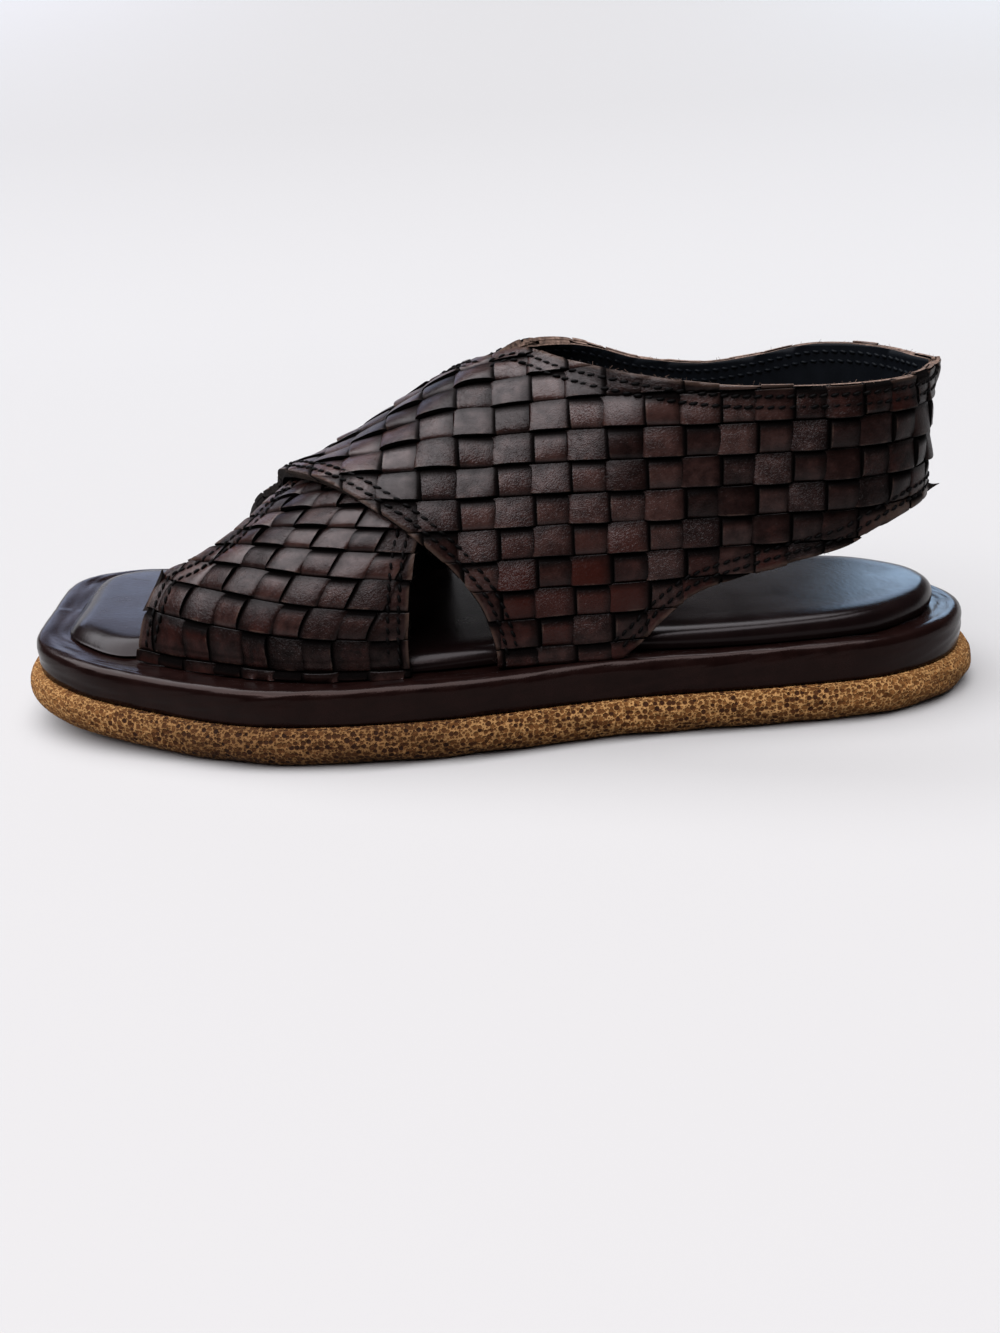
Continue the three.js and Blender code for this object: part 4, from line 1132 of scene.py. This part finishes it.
def poredFoam(name, flat):  # round pores of two sizes, with painted shade in them, darker the deeper they are
    material, tree, shader = newMaterial(name)
    place = objectPlace(tree)
    source, perUnit = (place, 1000.0) if flat else (stripMap(tree), 1.0)
    axes = axesOf(tree, place)
    pores = []
    for scale, least, spread in foamLook["pores"]:
        cells = addNode(
            tree, "ShaderNodeTexVoronoi", {"Vector": source, "Scale": scale * perUnit, "Randomness": 0.8},
            voronoi_dimensions="2D").outputs
        chance = addNode(tree, "ShaderNodeSeparateColor", {"Color": cells["Color"]}).outputs
        reach = scaleOf(tree, chance["Red"], spread, least)
        pore = rampOf(tree, mathOf(tree, "SUBTRACT", reach, cells["Distance"]), foamLook["bowl"])
        pores.append(mathOf(tree, "MULTIPLY", pore, scaleOf(tree, chance["Green"], 0.5, 0.5)))
    middle = rampOf(tree, mathOf(tree, "ABSOLUTE", axes["X"]), foamLook["ends"])
    wide, fine = mathOf(tree, "MULTIPLY", pores[0], middle), scaleOf(tree, pores[1], foamLook["fineShare"])
    opened = mathOf(tree, "MAXIMUM", wide, fine)
    cloud = noiseOf(tree, place, 60.0, 3.0)
    colour = rampOf(tree, cloud, foamLook["wall"])
    fromGround = mathOf(tree, "ADD", scaleOf(tree, axes["Z"], 145.0), scaleOf(tree, cloud, 0.9))
    fromToe = scaleOf(tree, axes["X"], 3.3, 0.5)  # 0 at the toe, 1 at the heel
    for factor, key in ((opened, "floor"), (fromGround, "darkerTowardsGround"), (fromToe, "darkerUnderBall")):
        colour = mixOf(tree, 1.0, colour, rampOf(tree, factor, foamLook[key]), "MULTIPLY")
    feed(tree, shader, {
        "Base Color": colour, "Roughness": 0.92, "Specular IOR Level": 0.1,
        "Normal": bumpOf(tree, mathOf(tree, "SUBTRACT", 1.0, opened), 0.9, 0.0006)})
    return material


stripHide, sideHide, cutEdge = stripLeather(), stripSide(), rawEdge()
wrapHide, bedHide, liningHide, threadStuff = (plainLeather(name) for name in plainHides)
foam, foamBase = poredFoam("poredFoam", flat=False), poredFoam("poredFoamBase", flat=True)
print("materials ready")

# Sole pieces: profiles of (way out from the outline, share of the height), carried round the outline
outsoleFoam = {
    "profile": [[-2.4, 0], [1.4, 0.1], [3.5, 0.34], [3.9, 0.58], [3.3, 0.82], [2, 1]],
    "ring": 1560, "levels": 46,
    "cell": 1.6, "deepest": 0.3, "share": 0.7, "leastPit": 0.45, "shallowPit": 0.12, "pitWall": (0.06, 0.42),
    "pitSeed": 31, "pitEnds": (1.5, 1), "lump": 0.25, "lumpSize": 23, "lumpSeed": 5, "lumpEnds": (4, 3),
}


def pitDepth(a, b, cell, loop):  # a jittered point in each cell; walls where two points are equally near
    rand = np.random.RandomState(outsoleFoam["pitSeed"])
    columns, rows = int(round(loop / cell)), int(np.ceil(b.max() / cell)) + 3
    jitter, depth = rand.rand(columns, rows, 2), rand.rand(columns, rows)
    x, y = a / (loop / columns), b / cell + 1
    i, j = np.floor(x).astype(int), np.floor(y).astype(int)
    nearest, second, found = np.full(a.shape, 9.0), np.full(a.shape, 9.0), np.zeros(a.shape)
    for di in (-1, 0, 1):
        for dj in (-1, 0, 1):
            ci, cj = (i + di) % columns, np.clip(j + dj, 0, rows - 1)
            d = np.hypot(i + di + jitter[ci, cj, 0] - x, j + dj + jitter[ci, cj, 1] - y)
            closer = d < nearest
            second = np.where(closer, nearest, np.minimum(second, d))
            found = np.where(closer, depth[ci, cj], found)
            nearest = np.where(closer, d, nearest)
    least, share = outsoleFoam["leastPit"], outsoleFoam["share"]
    deep = np.where(found < share, least + (1 - least) * found / share, outsoleFoam["shallowPit"])
    return smooth(*outsoleFoam["pitWall"], second - nearest) * deep


def bothEnds(ends, b):  # 0 at the profile's two ends, 1 further in
    return smooth(0, ends[0], b) * smooth(0, ends[1], b[::-1])


def ringCaps(levels, count):  # lids on the first and the last ring
    return np.vstack([capTriangles(0, count, False), capTriangles((levels - 1) * count, count, True)])


def buildOutsole():  # lumpy round side with pits
    n, levels = outsoleFoam["ring"], outsoleFoam["levels"]
    ring, out, way = soleRing(n)
    loop = way[-1] + way[1]
    profile, rise = profileCurve(outsoleFoam["profile"], levels)
    xy = ring[None] + out[None] * profile[:, 0, None, None]
    grid = np.dstack([xy, toeSpring(xy[..., 0]) + sole["outsoleThickness"] * profile[:, 1, None]])
    a, b = np.broadcast_arrays(way[None], rise[:, None])
    pit = pitDepth(a, b, outsoleFoam["cell"], loop) * bothEnds(outsoleFoam["pitEnds"], b)
    lump = outsoleFoam["lump"] * wander(a + 3 * b, outsoleFoam["lumpSize"], outsoleFoam["lumpSeed"])
    lump = lump * bothEnds(outsoleFoam["lumpEnds"], b)
    grid = grid + gridNormals(grid) * (lump - outsoleFoam["deepest"] * pit)[..., None]
    quads, triangles = ringQuads(levels, n), ringCaps(levels, n)
    kind = np.repeat([0, 1], [len(quads), len(triangles)])
    uv = np.stack([a.ravel(), b.ravel()], 1)
    piece = makePiece("outsole_foam", grid.reshape(-1, 3) + shift, quads, [foam, foamBase],
                      triangles, faceMaterial=kind, uv=uv, uvLoop=loop)
    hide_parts("outsole")


midsoleWrap = {
    "profile": [[0, 0], [0.15, 0.3], [0.1, 0.72], [-0.35, 0.88], [-1.1, 0.965], [-2.6, 1], [-5, 0.985],
                [-9, 0.965], [-14, 0.96]],
    "ring": 620, "levels": 40, "calmFoot": 3,
    "waves": [  # depth, share of the way round, share of the way up, size, seed
        [0.12, 1, 2, 40, 11], [0.05, 1, -5, 9, 12], [0.045, 0.12, 4, 11, 13]],
}


def buildMidsole():  # wrapped side with a rounded edge, a little wavy
    n, levels = midsoleWrap["ring"], midsoleWrap["levels"]
    ring, out, way = soleRing(n)
    profile, rise = profileCurve(midsoleWrap["profile"], levels)
    xy = ring[None] + out[None] * profile[:, 0, None, None]
    x = xy[..., 0]
    bottom = sole["outsoleThickness"] + sole["pieceGap"] + toeSpring(x)
    grid = np.dstack([xy, mix(bottom, rimHeight(x), profile[:, 1, None])])
    a, b = np.broadcast_arrays(way[None], rise[:, None])
    wave = sum(
        depth * wander(byWay * a + byRise * b, size, seed)
        for depth, byWay, byRise, size, seed in midsoleWrap["waves"])
    grid = grid + gridNormals(grid) * (wave * smooth(0, midsoleWrap["calmFoot"], b))[..., None]
    piece = makePiece("midsole_wrap", grid.reshape(-1, 3) + shift, ringQuads(levels, n), [wrapHide],
                      ringCaps(levels, n))
    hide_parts("midsole")


insolePad = {
    "toe": [[0.8, 0], [0.3, 0.08], [-0.5, 0.3], [-1.7, 0.56], [-3.4, 0.8], [-5.8, 0.95], [-12, 1]],
    "heel": [[0, 0], [0.35, 0.2], [0.35, 0.45], [-0.5, 0.75], [-2.4, 0.94], [-5.5, 1], [-11, 1]],
    "toHeel": (-70, 30), "ring": 620, "levels": 36, "topSteps": 12,
}


def buildInsole():  # the toe's soft edge turns into the heel's round one; the top closes in on its middle
    n, levels = insolePad["ring"], insolePad["levels"]
    ring, out, _ = soleRing(n)
    outer, inner = (tableCurve(sole["insoleInset"], column, ring[:, 0]) for column in (1, 2))
    inset = np.where(ring[:, 1] < 0, outer, inner)
    toe, heel = (profileCurve(insolePad[key], levels)[0] for key in ("toe", "heel"))
    profile = mix(toe[:, None], heel[:, None], smooth(*insolePad["toHeel"], ring[:, 0])[None, :, None])
    xy = ring[None] + out[None] * (profile[..., 0] - inset[None])[..., None]
    x = xy[..., 0]
    z = mix(rimHeight(x) + sole["pieceGap"], insoleTop(x), profile[..., 1])
    middle = xy[-1].mean(0)
    top = mix(xy[-1], middle, np.linspace(0, 1, insolePad["topSteps"])[1:-1, None, None])
    grid = np.vstack([np.dstack([xy, z]), np.dstack([top, insoleTop(top[..., 0])])])
    points = np.vstack([grid.reshape(-1, 3), [*middle, insoleTop(middle[0])]])
    i = (len(grid) - 1) * n + np.arange(n)
    fan = np.stack([i, np.roll(i, -1), np.full(n, len(points) - 1)], 1)
    triangles = np.vstack([capTriangles(0, n, False), fan])
    quads = ringQuads(len(grid), n)
    piece = makePiece("insole_pad", points + shift, quads, [bedHide], triangles)
    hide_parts("insole")


buildOutsole()
buildMidsole()
buildInsole()

# Upper: strips, lining, stitches and loose fibres of each strap, then the tips and the back seam
overStrap = {
    "place": quarterPlace, "cells": quarterCells, "columns": (-12, 17), "rows": (-2, 22), "seed": 100,
    "turn": 1, "lift": overLift, "calm": noCalm, "rust": quarterRust, "covered": False,
    "edges": overEdges, "sewn": ("front", "rear", "collar", "lower"),
}
underSling = {
    "place": innerQuarterPlace, "cells": innerQuarterCells, "columns": (-8, 17), "rows": (-2, 16),
    "seed": 200, "turn": 1, "lift": noLift, "calm": underCalm, "rust": quarterRust, "covered": True,
    "edges": underQuarter, "sewn": ("front", "instep", "collar", "lower"),
}
underVamp = {
    "place": forefootPlace, "cells": forefootCells, "columns": (-10, 11), "rows": (-1, 15), "seed": 300,
    "turn": -1, "lift": noLift, "calm": underCalm, "rust": vampRust, "covered": True,
    "edges": underForefoot, "sewn": ("front", "rear"),
}
liningStep = 2.0
stripMaterials = [stripHide, sideHide, cutEdge]


def buildStrap(name, strap):  # strips, lining, stitches and fibres, all from one outline
    edges = strap["edges"]
    outline, sewn = closedOutline(edges), [edges[key] for key in strap["sewn"]]
    piece = joinShells(name, weaveStrips(strap, outline), stripMaterials)
    lining = [liningShell(strap, outline, liningStep)]
    joinShells(name + "_lining", lining, [liningHide, liningHide, cutEdge])
    threadPiece(name + "_thread", strap, outline, sewn)
    fibrePiece(name + "_fibres", strap, outline, sewn)
    if "collar" in edges:
        threadPiece(name + "_lining_thread", strap, outline, [edges["collar"]], inside=True)
    return piece


overPiece = buildStrap("over_strap", overStrap)
buildStrap("under_sling", underSling)
buildStrap("under_vamp", underVamp)
for name, corner in looseCorners.items():
    loosePiece(name, corner)
joinShells("back_seam", [seamShell()], stripMaterials)
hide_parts("upper")
print("upper ready")

# Stage, light and camera; places and sizes of the floor and the lights are in metres
view = {
    "focal": 1207, "imageHeight": 1333,  # pixels
    "place": [39.0, -347.2, 143.7], "yaw": -5.99, "pitch": 21.91, "roll": -3.19,
}
floorPaper = {
    "front": -5, "halfWidth": 4.0, "ramp": 0.52,
    "bendStart": 0.8, "bendRadius": 1.6, "bend": 32, "bendSteps": 17,
    "shades": [(0.5, 0.012), (0.85, (0.213, 0.206, 0.2))], "shadeSlope": 5.0, "shadeStart": 2.2,
}
lights = {
    "toeCard": {"place": (-1.15, 2.0, 0.78), "size": (1.2, 0.42), "power": 4.2, "colour": (0.6, 0.7, 1.0)},
    "heelCard": {"place": (0.71, 2.0, 0.76), "size": (0.44, 0.4), "power": 3.5, "colour": (0.5, 0.72, 1.0)},
    "frontCard": {"place": (-0.4, -1.2, 0.95), "size": (1.1, 0.4), "power": 8.2, "colour": (1.0, 0.87, 0.9)},
}
lightAim = np.array([0, 0, 0.05])
sky = {"power": 13.2, "angle": 86, "colour": (0.93, 0.95, 1.0), "turn": (6, -14, 0)}
surround = {"colour": (0.93, 0.96, 1.0, 1), "strength": 0.05}


def addObject(name, data):  # an object of the data, linked into the scene
    thing = bpy.data.objects.new(name, data)
    bpy.context.scene.collection.objects.link(thing)
    return thing


def placeAt(thing, axes, place):  # axes: the thing's own right, up and backward directions
    matrix = np.eye(4)
    matrix[:3] = np.stack([*axes, place], 1)
    thing.matrix_world = Matrix(matrix.tolist())


def addCamera():  # turned by yaw, pitch and roll; the focal length is in pixels of the picture's height
    yaw, pitch, roll = (np.radians(view[key]) for key in ("yaw", "pitch", "roll"))
    ahead = np.array([np.sin(yaw) * np.cos(pitch), np.cos(yaw) * np.cos(pitch), -np.sin(pitch)])
    right = np.array([np.cos(yaw), -np.sin(yaw), 0])
    up = np.cross(right, ahead)
    right, up = np.cos(roll) * right + np.sin(roll) * up, np.cos(roll) * up - np.sin(roll) * right
    data = bpy.data.cameras.new("camera")
    data.lens = view["focal"] / view["imageHeight"] * data.sensor_width
    data.clip_start = 0.01
    camera = addObject("camera", data)
    placeAt(camera, (right, up, -ahead), (np.array(view["place"]) + shift) * mm)
    bpy.context.scene.camera = camera


def addFloor():  # grey paper that rises to a ramp behind, and is black in front of the picture
    material, tree, shader = newMaterial("floorPaper")
    y = axesOf(tree, objectPlace(tree))["Y"]
    fromFront = scaleOf(tree, y, floorPaper["shadeSlope"], floorPaper["shadeStart"])
    feed(tree, shader, {"Base Color": rampOf(tree, fromFront, floorPaper["shades"]), "Roughness": 0.95,
                        "Specular IOR Level": 0.1})
    turn = np.linspace(0, np.radians(floorPaper["bend"]), floorPaper["bendSteps"])
    radius, start, ramp = (floorPaper[key] for key in ("bendRadius", "bendStart", "ramp"))
    y, z = start + radius * np.sin(turn), radius * (1 - np.cos(turn))
    y = np.concatenate([[floorPaper["front"]], y, [y[-1] + ramp]])
    z = np.concatenate([[0], z, [z[-1] + ramp * np.tan(turn[-1])]])
    n = len(y)
    x = np.repeat([-floorPaper["halfWidth"], floorPaper["halfWidth"]], n)
    points = np.stack([x, np.tile(y, 2), np.tile(z, 2)], 1)
    i = np.arange(n - 1)
    mesh = bpy.data.meshes.new("floor")
    mesh.from_pydata(points.tolist(), [], np.stack([i, i + n, i + n + 1, i + 1], 1).tolist())
    mesh.polygons.foreach_set("use_smooth", np.ones(n - 1, bool))
    mesh.materials.append(material)
    addObject("floor", mesh)


def addCard(name, card):  # a lit card that faces the shoe
    data = bpy.data.lights.new(name, "AREA")
    data.shape, data.energy, data.color = "RECTANGLE", card["power"], card["colour"]
    data.size, data.size_y = card["size"]
    back = unit(np.array(card["place"]) - lightAim)
    side = unit(np.cross([0, 0, 1], back))
    placeAt(addObject(name, data), (side, np.cross(back, side), back), card["place"])


def addSky():  # a wide sun: soft light from almost straight above
    data = bpy.data.lights.new("sky", "SUN")
    data.energy, data.angle, data.color = sky["power"], np.radians(sky["angle"]), sky["colour"]
    addObject("sky", data).rotation_euler = np.radians(sky["turn"])


def addWorld():  # an even, dim surround
    world = bpy.data.worlds.new("studio")
    world.use_nodes = True
    bpy.context.scene.world = world
    background = world.node_tree.nodes["Background"]
    feed(world.node_tree, background, {"Color": surround["colour"], "Strength": surround["strength"]})


addCamera()
addFloor()
addWorld()
addSky()
for name, card in lights.items():
    addCard(name, card)
bpy.context.scene.view_settings.view_transform = "Standard"
print("stage ready")
